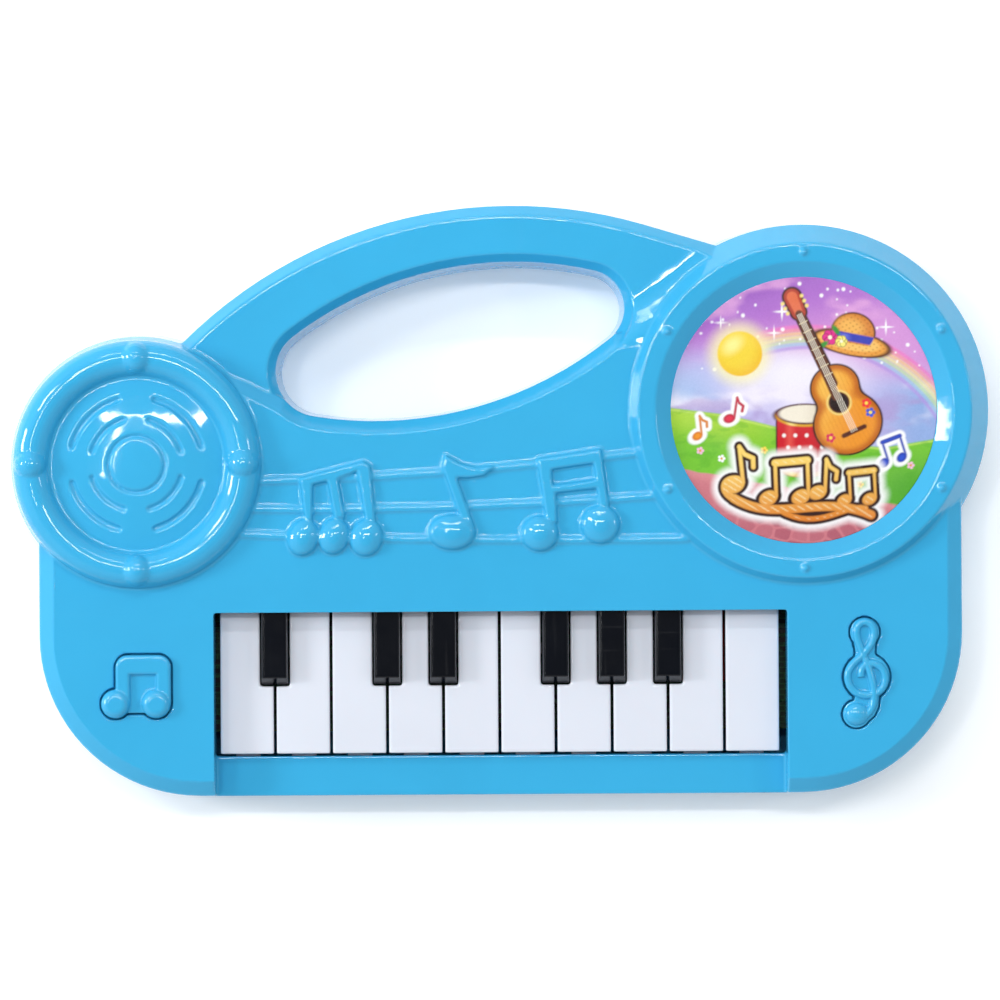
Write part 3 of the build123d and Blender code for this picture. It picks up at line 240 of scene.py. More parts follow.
looks = {
    "case_blue": moulded_plastic("case_blue", BLUE, gloss=(0.04, 0.08), subsurface=0.06, tone=0.03, fine_um=0.2,
                                 wave_um=9),
    "button_blue": moulded_plastic("button_blue", BLUE, gloss=(0.04, 0.08), wave_um=5, subsurface=0.06, tone=0.03),
    "cover_blue": moulded_plastic("cover_blue", shade(BLUE, 0.96), gloss=(0.34, 0.44), fine_um=1.6,
                                  subsurface=0.06, scratch=0.1, specular=0.35),
    "key_white": moulded_plastic("key_white", KEY_WHITE, gloss=(0.1, 0.18), wave_um=5, peel_um=0.3, tone=0.02,
                                 subsurface=0.1),
    "key_black": moulded_plastic("key_black", KEY_BLACK, gloss=(0.12, 0.2), wave_um=5, peel_um=0.3, tone=0.25,
                                 scratch=0.08, specular=0.32),
    "inner_blue": moulded_plastic("inner_blue", shade(BLUE, 0.7), gloss=(0.4, 0.5), fine_um=1.0),
    "board": board_material(),
    "picture": printed_card(),
    "pads": rubber("silicone_grey", (0.42, 0.42, 0.41)),
    "epoxy": moulded_plastic("epoxy_black", (0.01, 0.01, 0.011), gloss=(0.12, 0.3), wave_um=30, tone=0.2),
    "component": moulded_plastic("component_tan", (0.42, 0.27, 0.13), gloss=(0.3, 0.4), tone=0.15),
    "can": moulded_plastic("capacitor_sleeve", (0.012, 0.02, 0.07), gloss=(0.2, 0.3), tone=0.2),
    "steel": metal("screw_steel", (0.56, 0.56, 0.58), (0.22, 0.4)),
    "plated": metal("contact_nickel", (0.72, 0.71, 0.68), (0.16, 0.3)),
    "magnet": rubber("ferrite", (0.045, 0.045, 0.05), (0.5, 0.7)),
    "cone": rubber("cone_film", (0.02, 0.02, 0.022), (0.35, 0.5)),
    "cell": moulded_plastic("cell_sleeve", (0.02, 0.023, 0.03), gloss=(0.2, 0.32), tone=0.25),
    "wire_red": rubber("wire_red", (0.5, 0.012, 0.012), (0.3, 0.45)),
    "wire_black": rubber("wire_black", (0.012, 0.012, 0.012), (0.3, 0.45)),
}
look_of = {
    "key_hinge_rail": "inner_blue", "circuit_board": "board", "rubber_contact_pads": "pads", "epoxy_chip": "epoxy",
    "resistors": "component", "capacitor": "can", "speaker_magnet": "magnet", "speaker_cone": "cone",
    "battery_contacts": "plated", "battery_springs": "plated", "battery_cell_front": "cell",
    "battery_cell_rear": "cell",
    "speaker_wire_red": "wire_red", "battery_wire_red": "wire_red", "speaker_wire_black": "wire_black",
    "battery_wire_black": "wire_black",
}
for name, thing in nodes.items():
    thing.data.materials.clear()
    thing.data.materials.append(looks[look_of.get(name, "steel")])


# ---- Label picture --------------------------------------------------------------------------------
# Painted on the label's own mesh as a colour per vertex. Positions are in label radii: u right, v up.
SOFT = 0.008  # half width of an antialiased edge
INK = 0.84  # how much light the paper gives back
FIFTH_TURN, SIXTH_TURN = 1.257, 1.047  # radians, between the petals of a flower


def srgb(*channels):
    """An 8-bit sRGB colour as linear values."""
    return np.array([c / 12.92 / 255 if c <= 10.31 else ((c / 255 + 0.055) / 1.055) ** 2.4 for c in channels])


def inside(distance, soft=SOFT):
    """1 where a signed distance is negative, 0 where it is positive, smooth between."""
    t = np.clip((soft - distance) / (2 * soft), 0, 1)
    return t * t * (3 - 2 * t)


def ramp(value, low, high):
    t = np.clip((value - low) / (high - low), 0, 1)
    return t * t * (3 - 2 * t)


def lattice_noise(u, v, cell, seed):
    """Smooth noise from 0 to 1 on a square lattice."""
    values = np.random.default_rng(seed).random((64, 64))
    x, y = u / cell + 31.3, v / cell + 29.7
    i, j = np.floor(x).astype(int), np.floor(y).astype(int)
    a, b = x - i, y - j
    a, b = a * a * (3 - 2 * a), b * b * (3 - 2 * b)
    at = lambda p, q: values[(i + p) % 64, (j + q) % 64]
    return (at(0, 0) * (1 - a) + at(1, 0) * a) * (1 - b) + (at(0, 1) * (1 - a) + at(1, 1) * a) * b


def clouds(u, v, cell, seed):
    return sum(lattice_noise(u, v, cell / 2 ** k, seed + k) / 2 ** (k + 1) for k in range(4)) / 0.9375


class Picture:
    def __init__(self, u, v):
        self.u, self.v = u, v
        self.rgb = np.zeros((len(u), 3))

    def lay(self, colour, mask):
        mask = np.asarray(mask)[:, None]
        self.rgb = self.rgb * (1 - mask) + np.asarray(colour) * mask

    def circle(self, centre, radius):
        return np.hypot(self.u - centre[0], self.v - centre[1]) - radius

    def oval(self, centre, across, along, turn=0.0):
        c, s = math.cos(turn), math.sin(turn)
        x, y = self.u - centre[0], self.v - centre[1]
        p, q = (x * c + y * s) / across, (y * c - x * s) / along
        return (np.hypot(p, q) - 1) * min(across, along)

    def bar(self, start, end, radius, end_radius=None):
        """A round-ended line, tapered if it has an end radius."""
        du, dv = end[0] - start[0], end[1] - start[1]
        t = np.clip(((self.u - start[0]) * du + (self.v - start[1]) * dv) / (du * du + dv * dv), 0, 1)
        width = radius if end_radius is None else radius + (end_radius - radius) * t
        return np.hypot(self.u - start[0] - t * du, self.v - start[1] - t * dv) - width

    def path(self, points, radius):
        return np.min([self.bar(a, b, radius) for a, b in zip(points, points[1:])], axis=0)

    def shape(self, points):
        """Signed distance to a closed polygon."""
        distance = self.path(list(points) + [points[0]], 0)
        within = np.zeros(len(self.u), bool)
        for (x1, y1), (x2, y2) in zip(points, list(points[1:]) + [points[0]]):
            crosses = (y1 > self.v) != (y2 > self.v)
            step = (self.v - y1) / (y2 - y1 if y2 != y1 else 1) * (x2 - x1) + x1
            within ^= crosses & (self.u < step)
        return np.where(within, -distance, distance)


def curve_points(ends, count=16):
    """Points along a cubic Bezier curve."""
    t = np.linspace(0, 1, count)[:, None]
    a, b, c, d = (np.array(p) for p in ends)
    points = a * (1 - t) ** 3 + 3 * b * t * (1 - t) ** 2 + 3 * c * t * t * (1 - t) + d * t ** 3
    return [tuple(p) for p in points]


def leaning(at, size, lean):
    """Places a note's own coordinates on the label."""
    c, s = math.cos(lean), math.sin(lean)
    return lambda x, y: (at[0] + size * (x * c - y * s), at[1] + size * (x * s + y * c))


def quaver(picture, at, size, lean):
    """Distance to a single note with a flag; at is its head."""
    turned = leaning(at, size, lean)
    head = picture.oval(at, 0.30 * size, 0.22 * size, 0.45 + lean)
    stem = picture.bar(turned(0.24, 0.05), turned(0.24, 1.1), 0.055 * size)
    flag = picture.path([turned(*p) for p in ((0.24, 1.08), (0.36, 0.86), (0.6, 0.72), (0.58, 0.46))], 0.065 * size)
    return np.min([head, stem, flag], axis=0)


def beamed_pair(picture, at, size, lean):
    """Distance to two notes under one beam; at is the left head."""
    turned = leaning(at, size, lean)
    heads = [picture.oval(turned(x, 0), 0.27 * size, 0.2 * size, 0.45 + lean) for x in (0, 0.9)]
    stems = [picture.bar(turned(x + 0.22, 0.05), turned(x + 0.22, 1.0), 0.05 * size) for x in (0, 0.9)]
    beam = picture.path([turned(0.22, 0.97), turned(1.12, 1.02)], 0.1 * size)
    return np.min(heads + stems + [beam], axis=0)


def five_petals(picture, x, y, reach, radius):
    """Distance to a small flower's petals."""
    return np.min([picture.circle((x + reach * math.cos(k * FIFTH_TURN), y + reach * math.sin(k * FIFTH_TURN)), radius)
                   for k in range(5)], axis=0)


def paint_sky(p):
    u, v = p.u, p.v
    p.lay(srgb(196, 190, 236), np.ones(len(u)))
    p.lay(srgb(158, 196, 236), ramp(-u, 0.35, 0.95) * ramp(-v, -0.62, 0.05) * 0.9)
    p.lay(srgb(140, 172, 224), ramp(u, 0.35, 0.9) * ramp(-v, -0.5, 0.0) * 0.9)
    p.lay(srgb(214, 150, 216), ramp(v + 0.15 * u, 0.22, 0.55))
    p.lay(srgb(176, 112, 204), ramp(v - 0.25 * u, 0.45, 0.85))
    p.lay(srgb(146, 82, 184), ramp(v - 0.35 * u, 0.78, 1.15) * 0.9)
    p.lay(srgb(236, 176, 224), ramp(clouds(u, v * 2.2, 0.5, 11), 0.52, 0.72) * ramp(v, 0.2, 0.5) * 0.65)
    p.lay(srgb(250, 246, 255), ramp(-np.hypot((u + 0.05) / 0.75, (v - 0.26) / 0.34), -1.0, -0.1) * 0.85)
    puffs = ramp(clouds(u, v * 1.8, 0.42, 5), 0.42, 0.66) * ramp(-abs(v - 0.06 - 0.05 * u), -0.32, -0.05)
    p.lay(srgb(244, 238, 252), puffs * 0.9)
    shadows = ramp(clouds(u + 0.04, v * 1.9 + 0.09, 0.36, 23), 0.5, 0.7) * ramp(-abs(v + 0.03), -0.24, -0.04)
    p.lay(srgb(172, 152, 208), shadows * 0.75)


def paint_rainbow(p):
    ring = np.hypot(p.u - 0.03, p.v + 0.67) - 1.228
    fade = ramp(p.u, -0.62, -0.1) * 0.9
    bands = ((0.07, (240, 120, 190)), (0.045, (246, 150, 150)), (0.018, (248, 204, 120)), (-0.01, (240, 234, 140)),
             (-0.038, (190, 226, 150)), (-0.064, (150, 200, 226)), (-0.088, (176, 150, 224)))
    for offset, colour in bands:
        p.lay(srgb(*colour), inside(abs(ring - offset) - 0.013, 0.012) * fade * 0.8)


def paint_stars(p):
    draw = np.random.default_rng(4)
    for _ in range(70):
        angle, reach = draw.uniform(0.25, 2.95), draw.uniform(0.5, 0.97)
        size = draw.choice([0.006, 0.009, 0.014], p=[0.6, 0.3, 0.1])
        centre = (reach * math.cos(angle), reach * math.sin(angle))
        if centre[1] > 0.3:
            p.lay((1, 1, 1), inside(p.circle(centre, size)) * 0.95)
    for centre, size in (((-0.16, 0.74), 0.05), ((-0.22, 0.58), 0.04), ((0.62, 0.62), 0.045), ((-0.62, 0.66), 0.035)):
        rays = np.minimum(p.oval(centre, size, size * 0.16), p.oval(centre, size * 0.16, size))
        p.lay((1, 1, 1), inside(rays, 0.006))


def paint_sun(p):
    centre = (-0.479, 0.427)
    p.lay(srgb(255, 246, 170), ramp(-p.circle(centre, 0), -0.3, -0.15) * 0.75)
    p.lay(srgb(246, 214, 62), inside(p.circle(centre, 0.168)))
    p.lay(srgb(240, 176, 40), inside(p.circle(centre, 0.168)) * ramp(p.circle((-0.51, 0.47), 0), 0.1, 0.26) * 0.8)
    p.lay(srgb(255, 244, 150), inside(p.oval((-0.53, 0.49), 0.075, 0.05, 0.7), 0.04) * 0.9)


def paint_ground(p):
    u, v = p.u, p.v
    top = np.interp(u, [-1, -0.6, -0.367, -0.066, 0.3, 0.6, 1], [0.02, -0.03, -0.085, -0.16, -0.25, -0.285, -0.22])
    hill = inside(v - top, 0.01)
    p.lay(srgb(118, 196, 52), hill)
    p.lay(srgb(176, 216, 66), hill * ramp(v - top, -0.3, -0.02) * ramp(-u, -0.1, 0.7) * 0.9)
    p.lay(srgb(72, 158, 52), hill * ramp(u, 0.15, 0.8) * ramp(top - v, 0.0, 0.35) * 0.75)
    p.lay(srgb(214, 236, 120), hill * inside(abs(v - top + 0.012) - 0.006, 0.012) * 0.7)
    p.lay(srgb(84, 170, 44), hill * ramp(clouds(u * 1.4, v * 4, 0.2, 31), 0.5, 0.7) * 0.35)
    edge = np.interp(u, [-0.9, -0.55, -0.2, 0.3, 0.7, 1], [-0.44, -0.5, -0.57, -0.66, -0.72, -0.74])
    path = inside(v - edge - 0.02 * (lattice_noise(u, v, 0.07, 3) - 0.5), 0.01)
    p.lay(srgb(206, 122, 132), path)
    draw = np.random.default_rng(12)
    seeds = np.array([(a, b) for a in np.arange(-1, 1.05, 0.135) for b in np.arange(-1.05, -0.4, 0.105)])
    seeds = seeds + draw.uniform(-0.045, 0.045, seeds.shape)
    gaps = np.hypot(u[:, None] - seeds[:, 0], (v[:, None] - seeds[:, 1]) * 1.35)
    order = np.sort(gaps, axis=1)[:, :2]
    tones = draw.uniform(0, 1, len(seeds))[np.argmin(gaps, axis=1)]
    stone = path * ramp(order[:, 1] - order[:, 0], 0.012, 0.03)
    p.lay(srgb(176, 92, 108), stone * (0.35 + 0.65 * tones) * ramp(u - v, -0.25, 0.9))
    p.lay(srgb(226, 150, 152), path * ramp(v - edge, -0.1, 0.0) * 0.6)
    for x, y, colour in ((-0.62, -0.36, (255, 255, 255)), (-0.3, -0.3, (250, 220, 90)), (0.55, -0.48, (255, 255, 255)),
                         (0.8, -0.42, (250, 190, 220)), (-0.78, -0.3, (250, 190, 220)), (0.42, -0.56, (250, 220, 90))):
        p.lay(srgb(*colour), inside(five_petals(p, x, y, 0.018, 0.011), 0.005))
        p.lay(srgb(236, 150, 40), inside(p.circle((x, y), 0.008), 0.004))


def paint_drum(p):
    """A red toy drum with white dots and gold rims."""
    left, right, low, high = -0.2, 0.22, -0.42, -0.04
    wall = p.shape([(left, low), (right, low), (right, high), (left, high)])
    wall = np.minimum(wall, np.minimum(p.oval((0.01, low), 0.21, 0.075), p.oval((0.01, high), 0.21, 0.075)))
    p.lay(srgb(70, 20, 40), inside(wall - 0.012))
    across = (p.u - left) / (right - left)
    p.lay(srgb(206, 32, 44), inside(wall))
    p.lay(srgb(128, 12, 34), inside(wall) * ramp(across, 0.55, 1.05))
    p.lay(srgb(240, 96, 84), inside(wall) * inside(abs(across - 0.22) - 0.05, 0.08) * 0.7)
    for row in range(3):
        for column in range(5):
            centre = (left + 0.05 + 0.085 * column + 0.03 * (row % 2), low + 0.05 + 0.09 * row)
            p.lay((0.95, 0.93, 0.9), inside(p.circle(centre, 0.014)) * inside(wall))
    for level in (low, high):
        band = np.maximum(p.oval((0.01, level), 0.222, 0.085), -p.oval((0.01, level + 0.035), 0.24, 0.085))
        p.lay(srgb(224, 166, 44), inside(band))
        p.lay(srgb(255, 232, 140), inside(band) * inside(abs(across - 0.25) - 0.06, 0.08))
    p.lay(srgb(70, 20, 40), inside(p.oval((0.01, high + 0.01), 0.212, 0.078)))
    p.lay(srgb(244, 236, 216), inside(p.oval((0.01, high + 0.012), 0.198, 0.066)))
    p.lay(srgb(206, 190, 170), inside(p.oval((0.01, high + 0.012), 0.198, 0.066)) * ramp(p.u, -0.05, 0.2) * 0.7)


def paint_guitar(p):
    """A small wooden guitar leaning to the left."""
    lower, upper = p.oval((0.33, -0.10), 0.25, 0.225, 0.35), p.oval((0.235, 0.17), 0.175, 0.16, 0.35)
    blend = 0.07
    h = np.clip(0.5 + 0.5 * (upper - lower) / blend, 0, 1)
    body = upper * (1 - h) + lower * h - blend * h * (1 - h)
    neck_low, neck_high = (0.22, 0.2), (-0.03, 0.72)
    neck = p.bar(neck_low, neck_high, 0.036, 0.03)
    head = p.bar((-0.035, 0.735), (-0.083, 0.85), 0.052, 0.062)
    outline = np.minimum(np.minimum(body, neck), head)
    p.lay(srgb(60, 26, 18), inside(outline - 0.016))
    p.lay(srgb(238, 150, 42), inside(body))
    p.lay(srgb(250, 200, 90), inside(body + 0.035, 0.05) * ramp(0.45 - p.u + 0.5 * p.v, 0.0, 0.5) * 0.9)
    p.lay(srgb(176, 82, 20), inside(body) * (1 - inside(body + 0.03, 0.03)) * 0.8)
    grain = np.sin((p.u * 0.9 + p.v * 0.43) * 210 + 6 * clouds(p.u, p.v, 0.3, 9))
    p.lay(srgb(206, 120, 34), inside(body + 0.02) * ramp(grain, 0.3, 1.0) * 0.22)
    p.lay(srgb(96, 50, 30), inside(neck))
    p.lay(srgb(180, 60, 40), inside(head))
    p.lay(srgb(226, 110, 70), inside(head + 0.022))
    p.lay(srgb(90, 40, 24), inside(p.circle((0.265, 0.055), 0.092)))
    p.lay(srgb(250, 214, 120), inside(abs(p.circle((0.265, 0.055), 0.088)) - 0.008))
    p.lay(srgb(34, 16, 14), inside(p.circle((0.265, 0.055), 0.07)))
    p.lay(srgb(96, 50, 30), inside(p.bar((0.24, 0.1), neck_high, 0.03)))
    p.lay(srgb(84, 38, 22), inside(p.bar((0.30, -0.195), (0.455, -0.125), 0.017)))
    for k in (-1.5, -0.5, 0.5, 1.5):
        shift = (0.011 * k * 0.9, 0.011 * k * 0.43)
        string = p.bar((0.378 + shift[0] * 1.3, -0.16 + shift[1] * 1.3),
                       (neck_high[0] + shift[0], neck_high[1] + shift[1]), 0.0025)
        p.lay(srgb(252, 244, 224), inside(string, 0.004) * 0.9)
    for k in range(7):
        t = 0.12 + 0.125 * k
        x, y = neck_high[0] + t * (0.22 - neck_high[0]), neck_high[1] + t * (0.2 - neck_high[1])
        p.lay(srgb(232, 216, 180), inside(p.bar((x - 0.028, y - 0.0135), (x + 0.028, y + 0.0135), 0.003), 0.004))
    for side in (-1, 1):
        for k in range(3):
            x, y = -0.045 - 0.019 * k + side * 0.072, 0.755 + 0.037 * k + side * 0.03
            p.lay(srgb(250, 226, 130), inside(p.circle((x, y), 0.014)))
    for x, y, colour in ((0.5, -0.02, (60, 90, 210)), (0.2, -0.21, (214, 40, 90)), (0.47, 0.05, (240, 60, 60))):
        p.lay(srgb(*colour), inside(five_petals(p, x, y, 0.022, 0.015), 0.006))
        p.lay(srgb(255, 226, 90), inside(p.circle((x, y), 0.012), 0.006))


def paint_hat(p):
    """A straw hat with a blue band and two flowers, hung over the guitar's shoulder."""
    brim, crown = p.oval((0.36, 0.5), 0.27, 0.085, -0.2), p.oval((0.375, 0.58), 0.155, 0.14, -0.2)
    crown = np.maximum(crown, -(p.v - 0.5 + 0.2 * (p.u - 0.36)))
    p.lay(srgb(84, 44, 22), inside(np.minimum(brim, crown) - 0.013))
    p.lay(srgb(236, 160, 66), inside(brim))
    p.lay(srgb(250, 196, 104), inside(p.oval((0.345, 0.512), 0.235, 0.062, -0.2)))
    p.lay(srgb(216, 132, 52), inside(crown))
    p.lay(srgb(246, 184, 92), inside(p.oval((0.35, 0.62), 0.1, 0.07, -0.2), 0.04))
    weave = np.sin((p.v + 0.2 * p.u) * 150) * np.sin((p.u - 0.2 * p.v) * 120)
    p.lay(srgb(160, 92, 34), inside(np.minimum(brim, crown)) * ramp(weave, 0.2, 0.9) * 0.4)
    slope = 0.2 * (p.u - 0.36)
    band = np.maximum(np.maximum(crown - 0.004, p.v - 0.575 + slope), -(p.v - 0.512 + slope))
    p.lay(srgb(52, 60, 178), inside(band))
    p.lay(srgb(120, 130, 232), inside(band + 0.012) * inside(abs(p.u - 0.31) - 0.03, 0.04) * 0.7)
    for centre, size, colour in (((0.2, 0.545), 0.05, (226, 48, 140)), ((0.285, 0.515), 0.038, (250, 236, 120))):
        for k in range(6):
            x = centre[0] + size * 0.62 * math.cos(k * SIXTH_TURN)
            y = centre[1] + size * 0.62 * math.sin(k * SIXTH_TURN)
            petal = p.circle((x, y), size * 0.5)
            p.lay(srgb(*(int(c * 0.6) for c in colour)), inside(petal - 0.005, 0.005))
            p.lay(srgb(*colour), inside(petal, 0.006))
        p.lay(srgb(255, 250, 220), inside(p.circle(centre, size * 0.3), 0.006))
    for x, y, turn in ((0.15, 0.49, 0.6), (0.245, 0.6, 2.2)):
        p.lay(srgb(64, 150, 60), inside(p.oval((x, y), 0.042, 0.018, turn)))


def paint_notes(p):
    for distance, colour, dark in (
        (quaver(p, (-0.56, -0.06), 0.15, -0.15), (226, 52, 78), (150, 20, 50)),
        (quaver(p, (-0.80, -0.19), 0.135, 0.1), (244, 150, 44), (190, 96, 20)),
        (beamed_pair(p, (0.6, -0.4), 0.155, 0.3), (50, 84, 206), (26, 44, 140)),
    ):
        p.lay((1, 1, 1), inside(distance - 0.028, 0.01) * 0.95)
        p.lay(srgb(*colour), inside(distance))
        p.lay(srgb(*dark), inside(distance) * (1 - inside(distance + 0.012, 0.01)) * 0.6)


def paint_banner(p):
    """Golden notes over a waving ribbon, where the real label has its lettering."""
    u, v = p.u, p.v
    swash = np.min([
        p.path(curve_points([(-0.53, -0.66), (-0.2, -0.86), (0.12, -0.62), (0.5, -0.79)], 24), 0.034),
        p.path(curve_points([(-0.2, -0.745), (0.1, -0.93), (0.3, -0.7), (0.46, -0.74)]), 0.02),
        p.path(curve_points([(-0.53, -0.66), (-0.64, -0.6), (-0.6, -0.5), (-0.5, -0.52)]), 0.03),
    ], axis=0)
    notes = np.min([
        quaver(p, (-0.52, -0.56), 0.26, 0.1), beamed_pair(p, (-0.27, -0.66), 0.27, 0.03),
        quaver(p, (0.1, -0.62), 0.23, -0.05), beamed_pair(p, (0.3, -0.68), 0.21, 0.05),
    ], axis=0)
    whole = np.minimum(swash, notes)
    p.lay((1, 1, 1), inside(whole - 0.062, 0.035) * 0.92)
    p.lay(srgb(52, 28, 24), inside(whole - 0.024))
    height = np.clip((v + 0.86) / 0.5, 0, 1)[:, None]
    p.lay(srgb(222, 120, 40) * (1 - height) + srgb(252, 214, 110) * height, inside(whole))
    p.lay(srgb(255, 244, 190), inside(whole + 0.016, 0.006) * ramp(np.sin(u * 90 + v * 140), 0.2, 0.9) * 0.45)


def label_colours(u, v):
    picture = Picture(u, v)
    for paint in (paint_sky, paint_rainbow, paint_stars, paint_sun, paint_ground, paint_hat, paint_drum, paint_guitar,
                  paint_notes, paint_banner):
        paint(picture)
    speck = np.random.default_rng(8).normal(0, 0.012, (len(u), 1))
    return np.clip(picture.rgb * INK * (1 + speck), 0, 1)


# ---- Moulded pieces with rounded edges ------------------------------------------------------------
def evaluated_mesh(thing):
    graph = bpy.context.evaluated_depsgraph_get()
    return bpy.data.meshes.new_from_object(thing.evaluated_get(graph))


def moulded(node, body, slot, look, voxel_mm, rounds, most_triangles, shape=None):
    """The CAD node's shape with the soft edges that a mould leaves, as a new piece in place of the node."""
    piece = bpy.data.objects.new(f"{node}_moulded", shape or nodes[node].data.copy())
    bpy.context.collection.objects.link(piece)
    grid = piece.modifiers.new("grid", "REMESH")
    grid.mode = "VOXEL"
    grid.voxel_size = voxel_mm * MM
    relax = piece.modifiers.new("relax", "SMOOTH")
    relax.factor = 0.5
    relax.iterations = rounds
    mesh = evaluated_mesh(piece)
    piece.modifiers.clear()
    piece.data = mesh
    triangles = 2 * len(mesh.polygons)
    if triangles > most_triangles:
        thin = piece.modifiers.new("thin", "DECIMATE")
        thin.ratio = most_triangles / triangles
        mesh = evaluated_mesh(piece)
        piece.modifiers.clear()
        piece.data = mesh
    mesh.polygons.foreach_set("use_smooth", [True] * len(mesh.polygons))
    piece.modifiers.new("normals", "WEIGHTED_NORMAL")
    mesh.materials.clear()
    mesh.materials.append(looks[look])
    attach(piece, body)
    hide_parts(node)


def tube(points, radius):
    """The mesh of a round stroke along a smooth line through points in mm, with its radius in mm."""
    curve = bpy.data.curves.new("stroke", "CURVE")
    curve.dimensions = "3D"
    curve.bevel_depth = radius * MM
    curve.bevel_resolution = 6
    curve.resolution_u = 10
    curve.use_fill_caps = True
    spline = curve.splines.new("NURBS")
    spline.points.add(len(points) - 1)
    for control, (x, y, z) in zip(spline.points, points):
        control.co = (x * MM, y * MM, z * MM, 1)
    spline.order_u = 4
    spline.use_endpoint_u = True
    thing = bpy.data.objects.new("stroke", curve)
    bpy.context.collection.objects.link(thing)
    mesh = evaluated_mesh(thing)
    bpy.data.objects.remove(thing)
    return mesh


# The clef button, in mm.
CLEF_BASE_Z = 30.32
CLEF_TOP_Z = 31.46
CLEF_STROKE_R = 1.0
CLEF_CUT = 0.05  # how far under the base the CAD shape is cut, so that its raised strokes are gone
CLEF_FOOT_MIDDLE = (94.5, -57.5, 30.1)
CLEF_FOOT_RADII = (3.25, 3.05, 2.0)
# Where the clef's two modelled strokes run, in mm, with how high each point stands over the others.
CLEF_TALL = [(96.6, -42.3, 0), (95.2, -39.2, 0), (94.0, -35.6, 0), (95.3, -32.9, 0), (98.2, -32.9, 0),
             (99.6, -35.6, 0), (98.4, -39.4, 0), (95.6, -42.2, 0), (92.9, -44.4, 0), (91.6, -47.6, 0),
             (93.2, -51.6, 0), (97.4, -53.0, 0), (101.4, -51.3, 0), (102.6, -47.4, 0), (100.6, -44.2, 0),
             (97.4, -43.7, 0), (95.4, -45.2, 0), (95.7, -47.6, 0)]
CLEF_STEM = [(95.9, -40.6, -0.5), (96.9, -43.0, 0.05), (98.0, -46.0, 0.1), (98.9, -49.6, 0.1), (99.3, -53.0, 0.1),
             (98.8, -56.2, 0), (96.6, -58.0, -0.1)]


def clef_shape():
    """The clef button: the CAD node up to its plain top, with round strokes and a domed foot modelled on it."""
    bm = bmesh.new()
    bm.from_mesh(nodes["clef_button"].data)
    bmesh.ops.remove_doubles(bm, verts=bm.verts, dist=1e-6)
    everything = bm.verts[:] + bm.edges[:] + bm.faces[:]
    bmesh.ops.bisect_plane(bm, geom=everything, plane_co=(0, 0, (CLEF_BASE_Z - CLEF_CUT) * MM), plane_no=(0, 0, 1),
                           clear_outer=True)
    bmesh.ops.holes_fill(bm, edges=[edge for edge in bm.edges if edge.is_boundary], sides=0)
    middle = CLEF_TOP_Z - CLEF_STROKE_R
    for line in (CLEF_TALL, CLEF_STEM):
        bm.from_mesh(tube([(x, y, middle + lift) for x, y, lift in line], CLEF_STROKE_R))
    foot = bmesh.ops.create_uvsphere(bm, u_segments=48, v_segments=24, radius=1)
    for vertex in foot["verts"]:
        vertex.co = [(middle_k + radius_k * unit) * MM
                     for middle_k, radius_k, unit in zip(CLEF_FOOT_MIDDLE, CLEF_FOOT_RADII, vertex.co)]
    mesh = bpy.data.meshes.new("clef_shape")
    bm.to_mesh(mesh)
    bm.free()
    return mesh


# The raised notes' heads in mm: centre, radii and lean in degrees. Each gets a dome over its CAD pillow.
FACE_NOTE_HEADS = [
    ((-52.4, -9.7), (4.2, 4.9), -20), ((-44.2, -9.4), (4.1, 4.9), -20), ((-35.6, -9.8), (4.4, 5.0), -20),
    ((-12.8, -8.5), (6.3, 4.7), 0), ((10.5, -9.0), (5.0, 4.7), 0), ((26.6, -6.7), (5.2, 5.1), 0),
]
HEAD_DOME_Z, HEAD_DOME_HEIGHT = 30.0, 3.1


def shell_shape():
    """The front shell's CAD mesh with a dome over each raised note's head."""
    bm = bmesh.new()
    bm.from_mesh(nodes["front_shell"].data)
    for (cx, cy), (across, along), lean in FACE_NOTE_HEADS:
        c, s = math.cos(math.radians(lean)), math.sin(math.radians(lean))
        for vertex in bmesh.ops.create_uvsphere(bm, u_segments=64, v_segments=32, radius=1)["verts"]:
            x, y, z = vertex.co.x * across, vertex.co.y * along, vertex.co.z
            vertex.co = ((cx + x * c - y * s) * MM, (cy + x * s + y * c) * MM,
                         (HEAD_DOME_Z + HEAD_DOME_HEIGHT * z) * MM)
    mesh = bpy.data.meshes.new("shell_shape")
    bm.to_mesh(mesh)
    bm.free()
    return mesh


SHELL_VOXEL_MM = 0.4
# node, body, slot, look, voxel in mm, smoothing rounds, most triangles
MOULDED = [
    ("rear_cover", "case", "blue_case", "cover_blue", 0.6, 2, 120000),
    ("battery_door", "battery_door", "blue_case", "cover_blue", 0.35, 2, 30000),
    ("note_button", "note_button", "blue_case", "button_blue", 0.2, 3, 60000),
]
for key in (f"white_key_{n:02d}" for n in range(1, 11)):
    MOULDED.append((key, key, "white_keys", "key_white", 0.3, 2, 14000))
for key in (f"black_key_{n:02d}" for n in range(1, 7)):
    MOULDED.append((key, key, "black_keys", "key_black", 0.25, 2, 12000))
for row in MOULDED:
    moulded(*row)
moulded("front_shell", "case", "blue_case", "case_blue", SHELL_VOXEL_MM, 2, 195000, shape=shell_shape())
moulded("clef_button", "clef_button", "blue_case", "button_blue", 0.16, 3, 90000, shape=clef_shape())


# ---- Label ----------------------------------------------------------------------------------------
LABEL_CELLS = 300  # squares across the label
LABEL_CROWN = 0.02 * MM  # how far the card's top falls off towards its rim
LABEL_EDGE_COLOUR = 0.8


